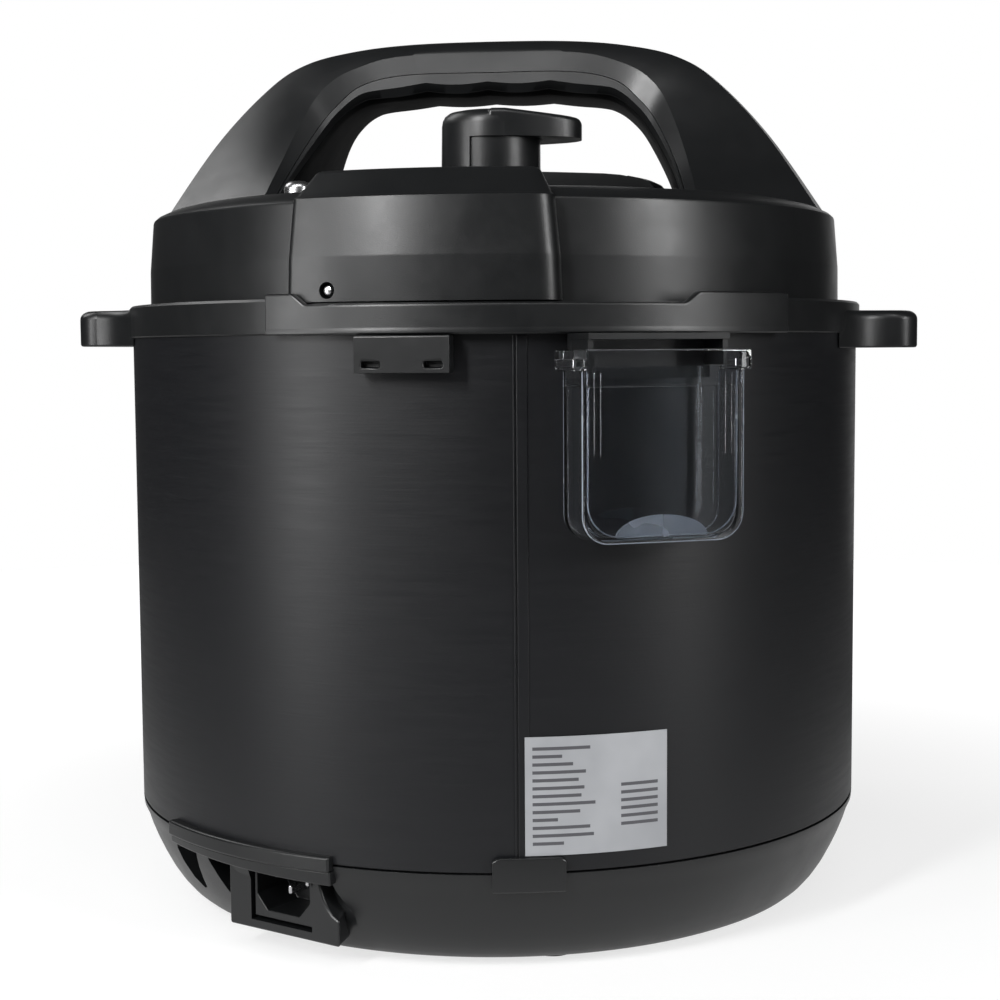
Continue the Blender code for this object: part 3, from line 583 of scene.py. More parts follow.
def make_inlet():
    """Appliance inlet: a chamfered socket in a flat face, with three blades."""
    left, right, floor, roof = 9.8, -16.6, 13.4, 33.0
    socket_x = -3.1
    shell = upright("inlet_body", [(left, floor), (left, roof), (right, roof), (right, floor)],
                    118.0, 138.2)
    socket = [(-11.9, 31.0), (-11.9, 21.6), (-7.2, 16.2), (7.2, 16.2), (11.9, 21.6), (11.9, 31.0)]
    boolean(shell, upright("socket", [(x + socket_x, z) for x, z in socket], 122.0, 142.0))
    bevel(shell, 0.35, 2)
    dress(swing(shell, INLET_BEARING), "black_plastic", "power_inlet")
    for index, (x, z) in enumerate(((-7.2, 27.4), (0.6, 23.4), (7.2, 28.4))):
        blade = box(f"blade_{index + 1}", (2.0, 13.0, 3.6), (x + socket_x, 127.6, z))
        bevel(blade, 0.8, 3)
        dress(swing(blade, INLET_BEARING), "steel", f"inlet_pin_{index + 1}")


def ear_outline(side, inset):
    """Plan outline of an ear, flaring into the ring, drawn in by an inset."""
    half, corner = 41.0 - inset, 9.0
    reach = EAR_REACH - EAR_SHORTER[side] - inset
    outline = [(122.0, half + 29.0), (127.4, half + 21.6), (132.2, half + 14.6),
               (136.6, half + 8.6), (141.2, half + 4.0), (146.4, half + 1.2), (151.4, half)]
    for step in range(9):
        turn = math.radians(90 - 90 * step / 8)
        outline.append((reach - corner + corner * math.cos(turn),
                        half - corner + corner * math.sin(turn)))
    outline += [(x, -y) for x, y in reversed(outline)]
    return [(side * x, y) for x, y in outline]


def ear_rings(side):
    """Levels of an ear: a soft lower edge and a generously rounded top."""
    levels = [(EAR_BOTTOM, 0.8), (EAR_BOTTOM + 0.25, 0.25), (EAR_BOTTOM + 0.9, 0.0)]
    round_top = 3.4
    for step in range(7):
        turn = math.radians(90 * step / 6)
        levels.append((EAR_TOP - round_top + round_top * math.sin(turn),
                       round_top * (1 - math.cos(turn))))
    return [[(x, y, z + side * EAR_LIFT) for x, y in ear_outline(side, inset)]
            for z, inset in levels]


def make_rim():
    """Upper ring with an ear at each side; each ear has a slot through it."""
    profile = [(RIM_R - 0.9, RIM_TOP), (RIM_R, RIM_TOP - 0.9), (RIM_R, RIM_BOTTOM + 0.5),
               (RIM_R - 0.6, RIM_BOTTOM), (BODY_R + 0.3, RIM_BOTTOM), (BODY_R + 0.3, 217.5),
               (141.4, 217.5), (141.2, 208.0), (127.0, 208.0), (127.0, 210.5),
               (RIM_INNER, 210.5), (RIM_INNER, RIM_TOP - 0.6), (RIM_INNER + 0.6, RIM_TOP)]
    rim = turned("rim", profile)
    path = sector("path", RIM_INNER - 2, RIM_R + 5, -24.5, 48.5, 226.6, 232)
    boolean(rim, path)
    for side in (-1, 1):
        ear = loft("ear", ear_rings(side))
        under = turned("under", [(BODY_R + 0.5, RIM_BOTTOM - 0.02), (BODY_R + 0.5, 205.0),
                                 (120.0, 205.0), (120.0, RIM_BOTTOM - 0.02)])
        boolean(ear, under)
        well = turned("well", [(RIM_INNER + 1.5, 240.0), (RIM_INNER + 1.5, 200.0),
                               (100.0, 200.0), (100.0, 240.0)])
        boolean(ear, well)
        boolean(rim, ear, "UNION")
        boolean(rim, box("slot", (5.2, 34.0, 40.0), (side * 151.0, 0, 220)))
    bevel(rim, 0.5, 2, 45)
    dress(rim, "black_plastic", "rim_collar")


def make_guard():
    """Bumped-out length of rim with higher ends, clear of the turning valve block."""
    inner, lip, outer = RIM_R - 0.2, BLOCK_R + 0.4, 148.4
    shelf = GUARD_LOW - 1.4
    start, end = -24.8, 48.8
    rings = []
    steps = 150
    for index in range(steps + 1):
        bearing = start + (end - start) * index / steps
        rise = min(1.0, max(0.0, (-18.9 - bearing) / 1.9, (bearing - 31.4) / 2.0))
        top = GUARD_LOW + (GUARD_TOP - GUARD_LOW) * rise
        skirt = RIM_BOTTOM - 0.2
        section = ((inner, shelf - 0.4), (lip, shelf), (lip, top - 0.6), (lip + 0.6, top),
                   (outer - 1.1, top), (outer - 0.3, top - 0.35), (outer, top - 1.1),
                   (outer, skirt + 2.4), (outer + 0.35, skirt + 1.8),
                   (outer + 0.35, skirt + 0.5), (outer - 0.2, skirt), (inner, skirt))
        way = radial(bearing)
        rings.append([(way.x * radius, way.y * radius, z) for radius, z in section])
    guard = loft("guard", rings)
    bevel(guard, 0.5, 2, 50)
    dress(guard, "black_plastic", "rear_rim_guard", angle=40)


# ---------------- fittings on the shell
def make_slotted_block():
    block = box("accessory_socket", (31.8, 6.4, 12.2), (0, 147.6, 209.9))
    for side in (-1, 1):
        boolean(block, box("slot", (6.2, 8.0, 2.1), (side * 10.4, 151.5, 206.6)))
    bevel(block, 0.45, 2)
    dress(swing(block, SLOT_BLOCK_BEARING), "black_plastic", "slotted_block")


def make_clip():
    """Tab over the seam, folded along its lower third."""
    start, end = CLIP_BEARING - 4.9, CLIP_BEARING + 4.9
    rings = []
    for index in range(21):
        bearing = start + (end - start) * index / 20
        edge = min(index, 20 - index) / 20
        trim = 1.2 * max(0.0, 1.0 - edge * 14)
        way = radial(bearing)
        section = ((BODY_R + 0.2, 43.4 - trim), (BODY_R + 2.0, 43.4 - trim), (BODY_R + 2.3, 42.8 - trim),
                   (BODY_R + 2.3, 36.4), (BODY_R + 1.6, 31.8), (BODY_R + 1.0, 31.3),
                   (BODY_R - 1.0, 31.3), (BODY_R + 0.2, 35.6))
        rings.append([(way.x * radius, way.y * radius, z) for radius, z in section])
    clip = loft("seam_clip", rings)
    bevel(clip, 0.5, 3)
    dress(clip, "black_plastic", "rear_clip")


def make_label():
    """Rating plate shape with generic bars; its sheet coordinates run left to right."""
    start, end, bottom, top = LABEL_BEARING - 9.9, LABEL_BEARING + 9.9, 43.7, 83.7
    plate = sector("label", BODY_R + 0.35, BODY_R + 0.65, start, end, bottom, top, 32)
    uv = plate.data.uv_layers.new(name="sheet")
    for loop in plate.data.loops:
        spot = plate.data.vertices[loop.vertex_index].co / MM
        bearing = math.degrees(math.atan2(-spot.x, spot.y))
        uv.data[loop.index].uv = ((bearing - start) / (end - start),
                                  (spot.z - bottom) / (top - bottom))
    dress(plate, "label_foil", "label_plate")


def make_bracket():
    """Hanger for the drip cup: back plate, roof, two webs and two rails."""
    bracket = box("cup_hanger", (49, 3.0, 14.5), (0, 145.6, 208.9))
    boolean(bracket, box("roof", (49, 18.0, 2.0), (0, 153.5, 215.2)), "UNION")
    for side in (-1, 1):
        boolean(bracket, box("web", (1.8, 17.0, 9.0), (side * 23.4, 153.0, 210.4)), "UNION")
        boolean(bracket, box("rail", (5.6, 16.0, 1.4), (side * 25.8, 153.2, 206.6)), "UNION")
    bevel(bracket, 0.35, 2)
    dress(swing(bracket, CUP_BEARING), "black_plastic", "cup_bracket")


def rounded_u(half, bottom, top, corner, steps=10):
    """Front outline of the cup: straight sides and two round lower corners."""
    points = [(half, top)]
    for side, first in ((1, 0), (-1, -90)):
        for step in range(steps + 1):
            turn = math.radians(first - 90 * step / steps)
            points.append((side * (half - corner) + corner * math.cos(turn),
                           bottom + corner + corner * math.sin(turn)))
    points.append((-half, top))
    return points


def make_cup():
    """Thin-walled clear cup: open top, stepped lip, grooved flanges and side ribs."""
    near, far, floor, top = 149.0, 166.0, 149.4, 211.0
    cup = upright("drip_cup", rounded_u(28.2, floor, top, 9.0), near, far)
    bevel(cup, 1.2, 3, 60)
    settle(cup)
    flange = box("flange", (62.0, far - near - 0.1, 6.6), (0, (near + far) / 2, top - 3.3))
    bevel(flange, 0.8, 2)
    settle(flange)
    boolean(cup, flange, "UNION")
    inside = upright("inside", rounded_u(25.8, floor + 1.9, top + 6, 7.4), near + 1.6, far - 1.6)
    bevel(inside, 0.8, 2, 60)
    settle(inside)
    boolean(cup, inside)
    ledge = upright("ledge", rounded_u(26.4, top - 11.8, top + 6, 1.0, 2), near + 1.0, far - 1.1)
    boolean(cup, ledge)
    boolean(cup, box("groove", (58.4, 13.4, 2.4), (0, 155.6, 206.7)))
    boolean(cup, box("entry", (49.6, 13.4, 8.0), (0, 155.6, 210.0)))
    for side in (-1, 1):
        for step in range(3):
            rib = box("rib", (0.7, 0.5, 26.0), (side * (21.6 + 2.2 * step), far - 0.1, top - 20.5))
            boolean(cup, rib, "UNION")
    bevel(cup, 0.25, 2, 50)
    dress(swing(cup, CUP_BEARING), "clear_cup", "condensation_cup")
    # The arch on the cup's floor is a moulded shape, given the lighter material as a painted highlight.
    arch = [(16.2 * math.cos(math.radians(9 * step)), floor + 1.8 + 7.2
             * math.sin(math.radians(9 * step))) for step in range(21)]
    dome = upright("cup_floor_dome", arch, far - 3.2, far - 2.2)
    bevel(dome, 0.4, 2)
    dress(swing(dome, CUP_BEARING), "cup_painted_highlight", body="cup")
    # Beads along the cup's edges in the lighter material: painted highlights standing in for the light
    # the edges catch.
    for index, (y, half) in enumerate(((far - 0.5, 27.9), (far - 1.9, 25.9), (near + 0.6, 27.9))):
        line = edge_line(f"cup_edge_highlight_{index + 1}", rounded_u(half, floor + 28.2 - half, top - 7.0,
                                                            36.9 - half, 12), y)
        dress(swing(line, CUP_BEARING), "cup_painted_highlight", body="cup")


def edge_line(name, outline, y, radius=0.22, sides=6):
    """Thin rounded bead along an open outline in an upright plane."""
    rings = []
    count = len(outline)
    for index, (x, z) in enumerate(outline):
        before, after = outline[max(index - 1, 0)], outline[min(index + 1, count - 1)]
        along = Vector((after[0] - before[0], 0, after[1] - before[1])).normalized()
        across = along.cross(Vector((0, 1, 0)))
        ring = []
        for side in range(sides):
            turn = 2 * math.pi * side / sides
            offset = across * radius * math.cos(turn) + Vector((0, radius * math.sin(turn), 0))
            ring.append((x + offset.x, y + offset.y, z + offset.z))
        rings.append(ring)
    return loft(name, rings)


def make_feet():
    for index in range(4):
        node = f"foot_{index + 1}"
        centre = (low(node) + high(node)) / 2
        foot = turned(f"rubber_foot_{index + 1}",
                      [(0, 1.9), (8.5, 1.9), (8.5, 1.0), (8.1, 0.3), (7.4, 0.0), (4.5, 0.0),
                       (4.0, 0.5), (0, 0.5)], 48, (centre.x, centre.y))
        dress(foot, "foot_rubber", node)


# ---------------- lid
def lid_top():
    """Upper outline of the lid, from its shoulder to its middle."""
    return [(134.0, LID_SHOULDER), (132.6, LID_SHOULDER + 1.2), (128.2, LID_SHOULDER + 3.2),
            (122.5, LID_SHOULDER + 4.6), (117.0, LID_SHOULDER + 5.2), (60.0, LID_CROWN)]


def lid_room(name, grow=0.12, deep=False):
    """The space the lid fills, used to trim what stands on it."""
    outline = [(0, LID_CROWN + grow)]
    outline += [(x + grow, z + grow) for x, z in reversed(lid_top())]
    if deep:
        outline += [(170.0, LID_SHOULDER + grow), (170.0, 200.0)]
    else:
        outline += [(135.8 + grow, LID_CREASE), (LID_R + grow, 200.0)]
    return turned(name, outline + [(0, 200.0)])


def make_lid_cover():
    wall = 2.4
    outside = [(0, LID_CROWN)] + list(reversed(lid_top()))
    outside += [(134.3, LID_SHOULDER - 0.8), (135.75, LID_CREASE + 0.4),
                (135.8, LID_CREASE - 0.4), (LID_R, LID_BOTTOM + 0.6),
                (LID_R - 0.6, LID_BOTTOM)]
    inside = [(LID_R - wall, LID_BOTTOM), (132.9, 242.0), (131.2, LID_SHOULDER - 2.4)]
    inside += [(x - 1.6, z - wall) for x, z in lid_top()[2:]] + [(0, LID_CROWN - wall)]
    cover = turned("lid", outside + inside)
    boolean(cover, drum("float_hole", 8.0, 20, (FLOAT.x, FLOAT.y, 268)))
    boolean(cover, drum("stem_hole", 9.0, 20, (KNOB.x, KNOB.y, 268)))
    dress(cover, "black_plastic", "lid_cover", angle=24)


def block_ring(z, front, left_inset, right_inset, left_corner, right_corner):
    """Plan outline of the valve housing at a height, with rounded front corners."""
    left = BLOCK_START + math.degrees(left_inset / front)
    right = BLOCK_END - math.degrees(right_inset / front)
    front_arc = arc(front, left + math.degrees(left_corner / front),
                    right - math.degrees(right_corner / front), 24)
    corners = []
    for bearing, corner, joined in ((left, left_corner, front_arc[0]),
                                    (right, right_corner, front_arc[-1])):
        tip = radial(bearing) * front
        foot = tip - radial(bearing) * corner
        curve = []
        for step in range(9):
            t = step / 8
            weights = ((1 - t) ** 2, 2 * t * (1 - t), t * t)
            curve.append(tuple(weights[0] * foot[axis] + weights[1] * tip[axis]
                               + weights[2] * joined[axis] for axis in (0, 1)))
        corners.append(curve)
    points = corners[0] + front_arc[1:-1] + corners[1][::-1]
    back = 27.0 + right_inset
    left_end, right_end = radial(left) * front, radial(right) * front
    points += [(right_end.x + 4.0, back), (left_end.x - 6.0, back)]
    return [(x, y, z) for x, y in points]


def make_valve_housing():
    """Block over the lid's rear: a creased wall, a sloping brow and a flat top."""
    brow = LID_SHOULDER + 0.8
    crease = LID_CREASE
    levels = ((227.2, BLOCK_R, 0.0, 0.0, 2.6, 9.0),
              (crease - 0.4, BLOCK_R - 0.1, 0.5, 0.5, 2.6, 9.0),
              (crease + 0.4, BLOCK_R - 0.15, 0.55, 0.6, 2.6, 9.0),
              (brow - 0.6, BLOCK_R - 2.0, 1.5, 2.2, 2.5, 8.5),
              (brow, BLOCK_R - 2.7, 1.7, 2.6, 2.4, 8.2),
              (brow + 0.5, BLOCK_R - 4.0, 1.9, 3.0, 2.2, 7.5),
              (BLOCK_TOP - 1.2, 129.6, 2.0, 5.0, 1.6, 4.5),
              (BLOCK_TOP - 0.4, 128.4, 2.4, 5.6, 1.6, 4.5),
              (BLOCK_TOP, 127.2, 3.0, 6.4, 1.6, 4.5))
    block = loft("valve_block", [block_ring(*level) for level in levels])
    boolean(block, lid_room("block_trim"))
    boolean(block, drum("bore", 9.0, 30, (KNOB.x, KNOB.y, 272)))
    hole = drum("stud_hole", 2.8, 12, (0, BLOCK_R, 230.9), 32, "Y")
    boolean(block, swing(hole, -16.3))
    bevel(block, 0.5, 2, 38)
    dress(block, "black_plastic", "valve_housing", angle=30)
    stud = turned("stud", [(0, 2.2), (1.3, 1.8), (2.0, 0.8), (2.1, 0.0), (2.1, -4.0), (0, -4.0)], 32)
    stud.data.transform(Matrix.Rotation(math.radians(-90), 4, "X"))
    stud.data.transform(Matrix.Translation(Vector((0, BLOCK_R - 2.6, 230.9)) * MM))
    dress(swing(stud, -16.3), "steel", "lid_stud")


def make_dome():
    """Low puck in the middle of the lid, with a groove round its brow."""
    puck = turned("dome", [(0, 280.0), (30.0, 279.6), (52.0, 278.4), (57.5, 277.8), (58.2, 277.1),
                           (59.4, 277.1), (60.2, 277.4), (64.5, 276.4), (67.5, 275.0),
                           (69.2, 273.0), (69.5, 262.0), (0, 262.0)])
    boolean(puck, lid_room("dome_trim"))
    boolean(puck, box("block_gap", (140, 60, 30), (0, 55.5, 270)))
    bevel(puck, 0.5, 2, 40)
    dress(puck, "black_plastic", "central_dome", angle=30)


# Handle outlines from the middle of the top down to a foot: (x, height) in millimetres.
CROWN = ((0, 332.4), (32, 331.8), (55, 329.4), (74, 324.6), (89, 315.0), (110, 292.5),
         (134, 258.0))
EDGE = ((0, 326.4), (34, 325.6), (51, 321.4), (62, 315.0), (69.6, 304.0), (77, 282.0),
        (82.5, 258.0))
PARTING = ((0, 318.6), (32, 318.2), (49, 314.6), (58.4, 307.0), (65.4, 297.5), (73.4, 279.0),
           (78.6, 258.0))
UNDER = ((0, 310.6), (30, 310.2), (47, 307.6), (57, 301.0), (64, 291.0), (71.5, 276.0),
         (77, 258.0))
HALF_CROWN = (11.0, 11.5, 12.5, 14.0, 16.0, 22.0, 30.0)
HALF_EDGE = (19.0, 19.5, 20.5, 23.0, 28.0, 44.0, 70.0)
PARTS = 12


def smooth(values):
    """Catmull-Rom points through a list of values."""
    padded = [values[0]] + list(values) + [values[-1]]
    points = []
    for index in range(len(values) - 1):
        a, b, c, d = padded[index:index + 4]
        if index == 0:
            a = c
        for part in range(PARTS):
            t = part / PARTS
            points.append(0.5 * (2 * b + (c - a) * t + (2 * a - 5 * b + 4 * c - d) * t * t
                                 + (3 * b - a - 3 * c + d) * t ** 3))
    points.append(values[-1])
    return points


def smooth_line(line):
    """Smooth outline; the mirrored side keeps the middle level."""
    xs = [-line[1][0]] + [x for x, _ in line]
    zs = [line[1][1]] + [z for _, z in line]
    run = []
    for values in (xs, zs):
        run.append(smooth(values)[PARTS:])
    return list(zip(*run))


def smooth_even(values):
    return smooth([values[1]] + list(values))[PARTS:]


def handle_rings(section):
    half = [section(index) for index in range(len(smooth_even(HALF_EDGE)))]
    left = [[(-x, y, z) for x, y, z in ring] for ring in half[:0:-1]]
    return left + half


def make_handle():
    """Arched handle: a crowned upper shell over a separate grip with finger scallops, and a
    painted-shade skin under the grip.
    """
    crown, edge = smooth_line(CROWN), smooth_line(EDGE)
    parting, under = smooth_line(PARTING), smooth_line(UNDER)
    crown_half, edge_half = smooth_even(HALF_CROWN), smooth_even(HALF_EDGE)

    def upper(index):
        (cx, cz), (ex, ez), (px, pz) = crown[index], edge[index], parting[index]
        narrow, wide = crown_half[index], edge_half[index]
        inward = 0.6 + narrow * narrow / (2 * LID_R)
        side = [(cx, 0.0, cz), (cx - inward * 0.25, narrow * 0.5, cz - 0.15),
                (cx - inward, narrow, cz - 0.8)]
        for t in (0.2, 0.4, 0.6, 0.8):
            bow = 4 * t * (1 - t)
            x = (1 - t) * (cx - inward) + t * ex
            z = (1 - t) * (cz - 0.8) + t * ez
            y = (1 - t) * narrow + t * wide
            side.append((x + bow * 0.5, y + bow * 0.3, z + bow * 0.5))
        lean = 2.6 * max(0.0, 1.0 - cx / 100.0)
        side[-4:] = [(x, y - lean * (step + 1) / 5, z) for step, (x, y, z) in enumerate(side[-4:])]
        side += [(ex, wide - lean, ez), (px, wide, pz)]
        return side + [(x, -y, z) for x, y, z in reversed(side[1:])]

    def lower(index):
        (px, pz), (ux, uz) = parting[index], under[index]
        wide = edge_half[index]
        length = math.hypot(ux - px, uz - pz)
        gap = 0.25 / length
        x, z = px + (ux - px) * gap, pz + (uz - pz) * gap
        pitch, depth = 23.5, 1.3
        wave = depth * abs(math.sin(math.pi * ux / pitch)) if ux < 2 * pitch else 0.0
        mx, mz = px + (ux - px) * 0.45, pz + (uz - pz) * 0.45
        nx, nz = px + (ux - px) * 0.8, pz + (uz - pz) * 0.8
        side = [(x, wide - 0.1, z), (mx, wide + 0.9, mz - wave * 0.8), (nx, wide - 1.4, nz - wave),
                (ux, wide - 6.0, uz - wave * 0.6), (ux, 0.0, uz - wave * 0.3)]
        return side + [(a, -b, c) for a, b, c in reversed(side[:-1])]

    def sole(index):
        """Thin skin over the underside of the grip, following its lower points, in a darker, duller copy
        of the grip plastic: painted shade.
        """
        (px, pz), (ux, uz) = parting[index], under[index]
        length = math.hypot(ux - px, uz - pz)
        skin = []
        for lift in (0.15, -0.5):
            row = [(x + (ux - px) * lift / length, y, z + (uz - pz) * lift / length)
                   for x, y, z in lower(index)[2:7]]
            skin += row if lift > 0 else row[::-1]
        return skin

    shell = loft("handle_shell", handle_rings(upper))
    boolean(shell, lid_room("handle_trim", deep=True))
    bevel(shell, 0.6, 3, 22)
    dress(shell, "black_plastic", "handle_top", angle=26)
    grip = loft("handle_lower", handle_rings(lower))
    boolean(grip, lid_room("grip_trim", deep=True))
    bevel(grip, 0.6, 2, 40)
    dress(grip, "grip_plastic", "handle_grip", angle=36)
    # Painted shade: a darker skin under the grip.
    shaded_skin = loft("grip_shaded_underside", handle_rings(sole))
    boolean(shaded_skin, lid_room("sole_trim", deep=True))
    dress(shaded_skin, "grip_painted_shade", body=BODY_OF_NODE["handle_grip"], angle=36)


def make_knob():
    """Valve knob: a drum whose skirt is cut back under a tapering lever."""
    foot = low("steam_valve_knob").z
    top = high("steam_valve_knob").z
    radius = 18.3
    body = turned("valve_knob", [(0, top), (13.0, top - 0.1), (15.4, top - 0.6), (16.9, top - 1.7),
                                 (17.7, top - 3.2), (18.0, top - 5.0), (radius, foot + 0.4),
                                 (radius - 0.4, foot), (4.6, foot), (4.6, 284.5), (0, 284.5)], 96)
    half_width = ((0.0, 17.8), (-7.0, 16.8), (-14.0, 14.8), (-21.0, 12.4), (-26.0, 10.2),
                  (-29.4, 7.8), (-31.2, 5.2), (-31.8, 2.6))
    outline = [(x, -half) for x, half in half_width] + [(x, half) for x, half in half_width[::-1]]
    arm = slab("lever", outline, 282.0, top - 0.2)
    slope = box("slope", (60, 60, 12), (-30.0, 0, 6.0))
    slope.data.transform(Matrix.Rotation(math.radians(-6.0), 4, "Y"))
    slope.data.transform(Matrix.Translation(Vector((-6.0, 0, top - 0.2)) * MM))
    boolean(arm, slope)
    bevel(arm, 1.8, 4, 50)
    settle(arm)
    boolean(arm, box("under_lever", (80, 60, 10.0), (-20.0, 0, 280.3)))
    boolean(body, arm, "UNION")
    cutback = sector("cutback", 17.1, 24.0, -20.0, 196.0, foot - 1.0, 285.2, 40)
    boolean(body, cutback)
    body.data.transform(Matrix.Translation(Vector((KNOB.x, KNOB.y, 0)) * MM))
    bevel(body, 0.35, 2, 45)
    dress(body, "black_plastic", "steam_valve_knob", angle=32)


def make_float():
    top = high("float_valve").z
    pin = turned("float_pin", [(0, top), (2.4, top - 0.1), (3.9, top - 0.6), (4.9, top - 1.6),
                               (5.3, top - 3.0), (5.3, top - 7.0), (3.0, top - 7.0), (3.0, 227.6),
                               (0, 227.6)], 64, (FLOAT.x, FLOAT.y))
    dress(pin, "steel", "float_valve")
    collar = turned("float_collar", [(7.9, LID_CROWN + 0.5), (7.9, LID_CROWN - 1.6),
                                     (6.7, LID_CROWN - 1.6), (6.7, LID_CROWN + 0.5)], 64,
                    (FLOAT.x, FLOAT.y))
    dress(collar, "black_plastic", body="lid")


# ---------------- pots, seen with the lid lifted
def make_pots():
    rim = high("inner_pot").z
    floor = low("inner_pot").z
    inner = turned("cooking_pot", [
        (0, floor + 0.2), (100.0, floor), (106.5, floor + 1.8), (110.0, floor + 5.4),
        (POT_R - 4.3, floor + 12.0), (POT_R - 4.3, rim - 2.4), (POT_R - 0.6, rim - 1.2),
        (POT_R, rim - 0.5), (POT_R - 0.5, rim), (POT_R - 5.4, rim - 0.5), (POT_R - 5.7, rim - 2.0),
        (POT_R - 5.7, floor + 12.5), (108.4, floor + 6.4), (105.2, floor + 3.2),
        (100.0, floor + 1.6), (0, floor + 1.6)])
    dress(inner, "steel", "inner_pot")


# ---------------- control panel
def make_panel_trim():
    """Raised bezel round the panel's field, and a printed mark on every button."""
    left, right = low("control_panel").x, high("control_panel").x
    bottom, top = low("control_panel").z, high("control_panel").z
    middle = Vector(((left + right) / 2, -PANEL_FRONT + 0.7, (bottom + top) / 2))
    wide, tall = right - left - 8.0, top - bottom - 8.0
    bezel = box("panel_bezel", (wide, 1.3, tall), middle)
    boolean(bezel, box("field", (wide - 4.0, 6.0, tall - 4.0), middle))
    bevel(bezel, 0.45, 3)
    dress(bezel, "black_plastic", body="housing")
    for index, node in enumerate(sorted(BUTTONS)):
        face = low(node).y
        centre = (low(node) + high(node)) / 2
        mark = box(f"mark_{node}", (9.0 - 1.2 * (index % 3), 0.2, 1.2),
                   (centre.x, face + 0.06, centre.z))
        bevel(mark, 0.08, 1)
        dress(mark, "print", body=BODY_OF_NODE[node])


# ---------------- CAD nodes kept as they are
KEPT_LOOKS = {
    "aluminium": ("outer_pot", "heating_plate"),
    "steel": ("temperature_sensor", "sensor_spring", "sensor_bracket", "pressure_switch",
              "base_screw_1", "base_screw_2", "base_screw_3", "lid_plate", "ring_rack",
              "anti_block_shield", "exhaust_stem", "lid_nut"),
    "silicone": ("thermal_fuse", "sealing_ring", "float_seal"),
    "circuit_board": ("power_board", "control_board"),
    "panel_gloss": ("control_panel",),
    "display": ("display_window",),
    "black_plastic": ("lid_interlock_slider",),
}


def paint_kept_nodes():
    for look, nodes in (*KEPT_LOOKS.items(), ("button_plastic", BUTTONS)):
        for node in nodes:
            for place in frame["nodes"][node].material_slots:
                place.material = LOOKS[look]


# ---------------- stage, light and camera
FLOOR_RADIUS = 1.1            # metres
ROOM_LIGHT = 0.03
BACKDROP_LIGHT = 0.9
SENSOR_WIDTH, LENS = 36.0, 63.9
CAMERA_BEARING, CAMERA_TILT, CAMERA_ROLL = 6.0, 4.8255, -0.3855
CAMERA_DISTANCE, CAMERA_SIDESTEP, CAMERA_HEIGHT = 0.71977, 0.00166, 0.211


def add_floor():
    """White table top whose far edge melts into the white surround; its emission is a painted glow,
    weaker near the object as the camera sees it, and casting light onto the object from the floor close
    round it.
    """
    floor = turned("floor", [(0, -0.2), (FLOOR_RADIUS / MM, -0.2), (FLOOR_RADIUS / MM, -2.0),
                             (0, -2.0)], 96)
    made, nodes, links, shader = new_material("floor")
    haze = add_noise(nodes, links, 3.0)
    tint(nodes, links, haze, (0.3, 0.3, 0.3), (0.32, 0.32, 0.32), shader)
    shader.inputs["Roughness"].default_value = 0.8
    shader.inputs["Specular IOR Level"].default_value = 0.1
    place = nodes.new("ShaderNodeTexCoord")
    reach = nodes.new("ShaderNodeVectorMath")
    reach.operation = "LENGTH"
    links.new(place.outputs["Object"], reach.inputs[0])
    # Painted glow: as seen, the emission rises from 0.72 near the object to 1 far out; in the light it
    # casts, it is 0.42 close round the object and none beyond.
    seen_glow = soft_ramp(nodes, links, reach.outputs["Value"], 0.16, 0.62, 0.72, 1.0)
    cast_glow = soft_ramp(nodes, links, reach.outputs["Value"], 0.17, 0.45, 0.42, 0.0)
    shader.inputs["Emission Color"].default_value = (1, 1, 1, 1)
    links.new(by_camera(nodes, links, cast_glow, seen_glow), shader.inputs["Emission Strength"])
    floor.data.materials.append(made)


def add_softbox(name, bearing, distance, height, size, power, aim=(0, 0, 0.22)):
    """Rectangular light on a bearing, turned towards a point on the object."""
    light = bpy.data.lights.new(name, "AREA")
    light.shape = "RECTANGLE"
    light.size, light.size_y = size
    light.energy = power
    lamp = bpy.data.objects.new(name, light)
    bpy.context.scene.collection.objects.link(lamp)
    lamp.location = radial(bearing) * distance + Vector((0, 0, height))
    towards = Vector(aim) - lamp.location
    lamp.rotation_euler = towards.to_track_quat("-Z", "Y").to_euler()
    return lamp


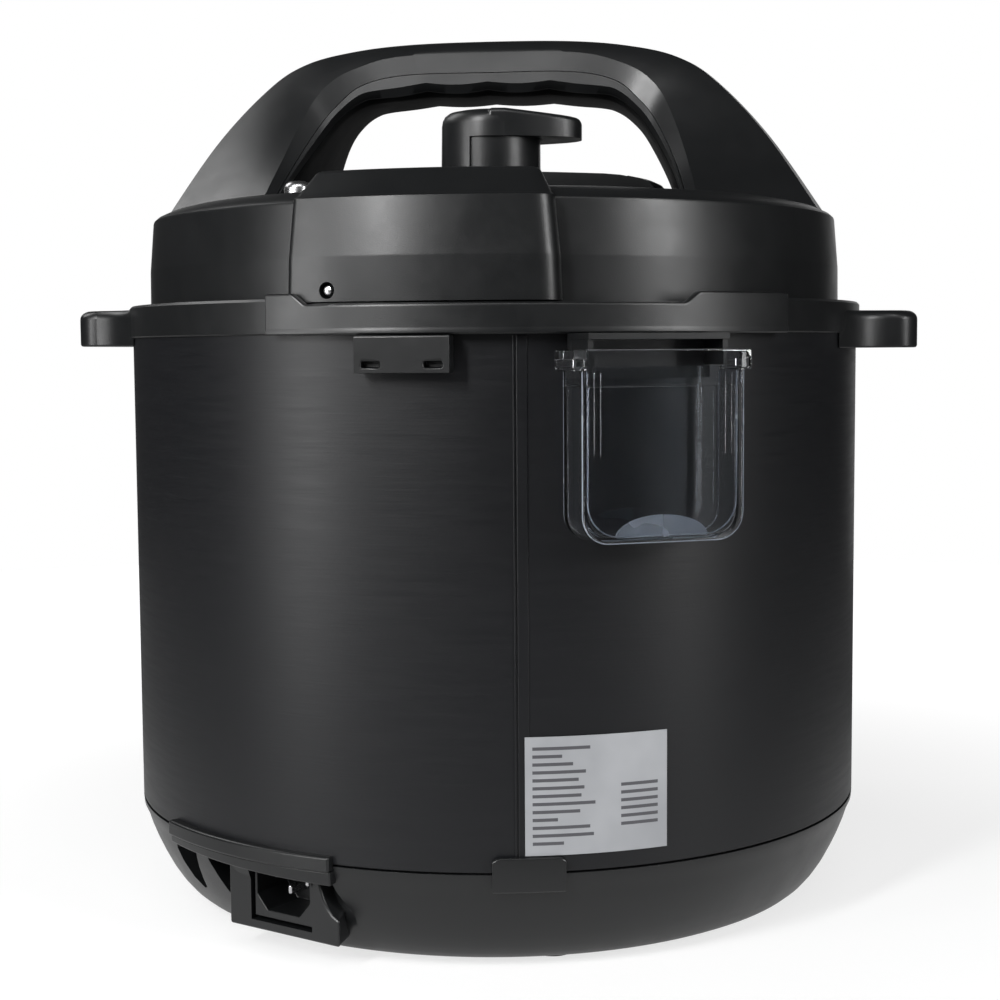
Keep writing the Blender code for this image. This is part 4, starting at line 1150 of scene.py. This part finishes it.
def add_world():
    """White to the camera; dim round the object, with a lit backdrop beyond it."""
    world = bpy.data.worlds.new("studio")
    bpy.context.scene.world = world
    world.use_nodes = True
    nodes, links = world.node_tree.nodes, world.node_tree.links
    nodes.clear()
    place = nodes.new("ShaderNodeTexCoord")
    split = nodes.new("ShaderNodeSeparateXYZ")
    links.new(place.outputs["Generated"], split.inputs["Vector"])
    backdrop = soft_ramp(nodes, links, split.outputs["Y"], -0.86, -0.985, ROOM_LIGHT,
                         BACKDROP_LIGHT)
    glow = nodes.new("ShaderNodeBackground")
    glow.inputs["Color"].default_value = (1, 1, 1, 1)
    links.new(by_camera(nodes, links, backdrop, 1.0), glow.inputs["Strength"])
    out = nodes.new("ShaderNodeOutputWorld")
    links.new(glow.outputs[0], out.inputs["Surface"])
    bpy.context.scene.view_settings.view_transform = "Standard"


def add_camera():
    """Camera behind the appliance, a little above it, turned slightly past the rear."""
    data = bpy.data.cameras.new("camera")
    data.sensor_width, data.lens = SENSOR_WIDTH, LENS
    camera = bpy.data.objects.new("camera", data)
    bpy.context.scene.collection.objects.link(camera)
    out = radial(CAMERA_BEARING)
    right = Vector((-out.y, out.x, 0.0))
    tilt = math.radians(CAMERA_TILT)
    ahead = -out * math.cos(tilt) - Vector((0, 0, 1)) * math.sin(tilt)
    up = right.cross(ahead)
    turn = Matrix((right, up, -ahead)).transposed().to_4x4()
    turn.translation = (out * CAMERA_DISTANCE + right * CAMERA_SIDESTEP
                        + Vector((0, 0, CAMERA_HEIGHT)))
    camera.matrix_world = turn @ Matrix.Rotation(math.radians(CAMERA_ROLL), 4, "Z")
    bpy.context.scene.camera = camera


for make in (make_shell, make_base, make_visor, make_inlet, make_rim, make_guard,
             make_slotted_block, make_clip, make_label, make_bracket, make_cup, make_feet,
             make_lid_cover, make_valve_housing, make_dome, make_handle, make_knob, make_float,
             make_pots, make_panel_trim, paint_kept_nodes, add_floor, add_world, add_camera):
    make()

SOFTBOXES = (
    # name, bearing, distance, height, size, power
    ("key_low", -50.0, 1.5, 0.30, (0.30, 0.8), 7.5),
    ("key_high", -28.0, 1.5, 0.98, (0.20, 0.8), 23.0),
    ("side", -112.0, 1.5, 1.40, (0.9, 0.9), 8.0),
    ("fill_low", 62.0, 1.6, 0.30, (0.26, 0.8), 4.0),
    ("fill_high", 57.0, 1.6, 0.80, (0.22, 0.6), 9.0),
    ("front", 10.0, 1.2, 1.60, (1.1, 0.4), 8.0),
)
for softbox in SOFTBOXES:
    add_softbox(*softbox)
